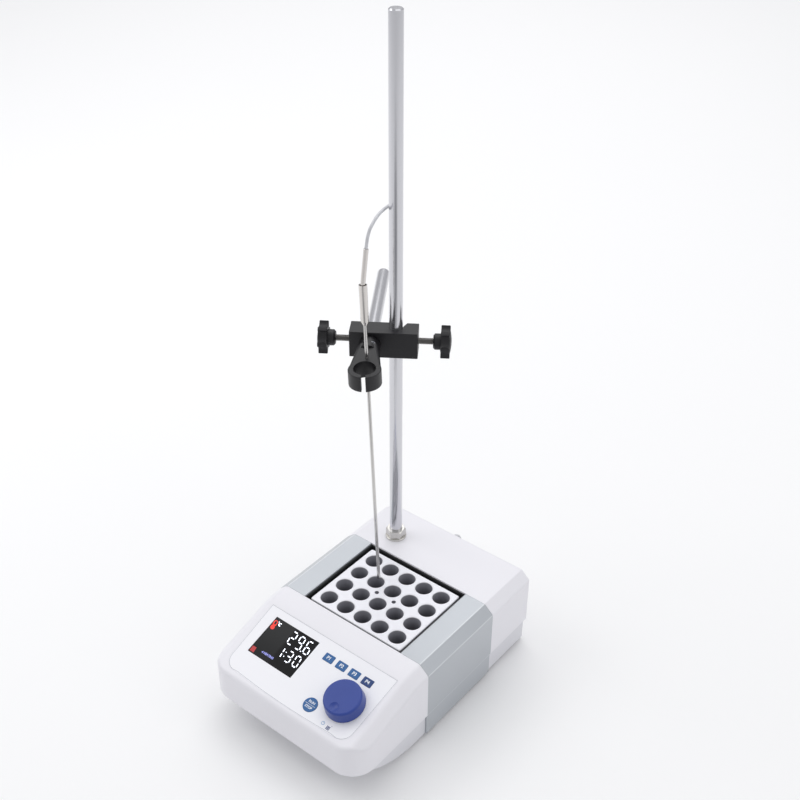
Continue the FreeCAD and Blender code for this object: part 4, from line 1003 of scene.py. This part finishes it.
# %% Cable finish
def silicone_lead():
    s = Sheet("silicone_lead")
    mapped = s.make("ShaderNodeUVMap", {"uv_map": "around_along"})
    u, v = s.part(mapped, "X"), s.part(mapped, "Y")
    twist_length = 0.009
    twist = ((u * 2 + v / twist_length) * (2 * math.pi)).sine() * 0.5 + 0.5
    cloud = s.noise(300.0, 3.0)
    base = s.mix(twist * 0.35 + cloud * 0.2, tint(216, 217, 220), tint(184, 185, 190))
    return s.finish(Base_Color=base, Roughness=0.32 + cloud * 0.08, Coat_Weight=0.3, Coat_Roughness=0.15,
                    Normal=s.bump(twist, 0.00003, 0.4))


dress(silicone_lead(), *cable_pieces)
print("cable dressed")

# %% [markdown]
# Rocker switches carry a bar for on and a ring for off. The rocker's top is a shallow V,
# so each sign is laid out on its own half, and both tilt with the rocker.

# %% Signs on the rocker
dress(satin_black("rocker_black", tint(22, 22, 24), 0.35, 1800.0, 0.00002), "power_rocker")
rocker_pivot = Vector((14.0, 110.0, 54.0))
rocker_lean = Matrix.Rotation(math.radians(8), 3, "X")
rocker_reach, half_angle, v_depth, sign_middle = 8.0, math.radians(33), 0.7, 3.4
dip = rocker_reach * math.sin(half_angle) - v_depth
tip = Vector((0, v_depth, rocker_reach * math.cos(half_angle)))


def on_rocker(side, x, y):
    """A place on the upper (side 1) or lower (side -1) half, seen from behind the instrument."""
    ahead = Vector((0, tip.y, tip.z * side)).normalized()
    out = Vector((0, ahead.z * side, -ahead.y * side))
    spot = Vector((-x, dip, 0)) + ahead * (sign_middle + y * side) + out * ink_lift
    return place(rocker_pivot + rocker_lean @ spot)


def rocker_sign(name, side, quads):
    points = [on_rocker(side, x, y) for quad in quads for x, y in quad]
    faces = [tuple(range(4 * i, 4 * i + 4)) for i in range(len(quads))]
    piece = mesh_piece(name, points, faces, smooth=False)
    if piece.data.polygons[0].normal.y < 0:
        piece.data.flip_normals()
    dress(white_ink, piece)
    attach(piece, "power_rocker")
    return piece


on_mark = rocker_sign("rocker_on_mark", 1, [[(-0.3, -1.6), (0.3, -1.6), (0.3, 1.6), (-0.3, 1.6)]])
off_mark = rocker_sign("rocker_off_mark", -1, ring_between(circle(0, 0, 1.6, 28), circle(0, 0, 1.1, 28)))
print("rocker marks", on_mark.name, off_mark.name)

# %% [markdown]
# A pale floor and large soft lights, as on a product table. Polished steel mirrors the
# room, so a room that is equally bright all round would leave the rods flat. Here a
# painted shade darkens the floor out of the picture, where the photographer would stand,
# and its reflection draws the dark stripe down the middle of each rod.

# %% Floor
floor_corners = [(-9, -9, 0), (9, -9, 0), (9, 9, 0), (-9, 9, 0)]
floor = mesh_piece("floor", floor_corners, [(0, 1, 2, 3)], smooth=False)


def pale_floor(shade_spot, inner, outer):
    s = Sheet("pale_floor")
    cloud = s.noise(3.0, 2.0)
    dx, dy = s.x - shade_spot.x, s.y - shade_spot.y
    # painted shade: the floor darkens round a spot near the camera's foot, out of the picture
    painted_shade = 1 - ((dx * dx + dy * dy) ** 0.5).ramp(inner, outer)
    pale = s.mix(cloud * 0.3, (0.95, 0.95, 0.95), (0.93, 0.93, 0.935))
    base = s.mix(painted_shade, pale, (0.30, 0.30, 0.31))
    return s.finish(Base_Color=base, Roughness=0.7, Specular_IOR_Level=0.15)


dress(pale_floor(place((430.0, -660.0, 0.0)), 0.2, 0.52), floor)
print("floor", len(floor.data.polygons), "face")


# %% [markdown]
# Four wide lamps keep the shadows soft. The key lamp stands at the front left, two
# weaker ones fill from the right and from above, and one far behind brightens the back
# of the floor. An even sky lifts whatever they miss.

# %% Lamps and sky
def lamp(name, spot, aim, size, power):
    light = bpy.data.lights.new(name, "AREA")
    light.shape = "RECTANGLE"
    light.size, light.size_y = size
    light.energy = power
    holder = bpy.data.objects.new(name, light)
    scene.collection.objects.link(holder)
    holder.location = spot
    holder.rotation_euler = (Vector(aim) - Vector(spot)).to_track_quat("-Z", "Y").to_euler()


lamp("key_lamp", (-1.3, -0.6, 1.6), (0, 0, 0.15), (1.2, 1.2), 8)
lamp("fill_lamp", (1.6, 0.5, 1.3), (0, 0, 0.15), (1.2, 1.4), 3.5)
lamp("top_lamp", (0.1, 0.4, 2.2), (0, 0, 0.1), (1.6, 1.6), 5)
lamp("far_lamp", (-1.4, 1.9, 2.6), (-1.4, 1.9, 0), (3.0, 3.0), 34)
world = bpy.data.worlds.new("room")
scene.world = world
world.use_nodes = True
sky = world.node_tree.nodes["Background"]
sky.inputs["Color"].default_value = (0.97, 0.975, 1.0, 1)
sky.inputs["Strength"].default_value = 0.62
scene.view_settings.view_transform = "Standard"
print("lamps placed")
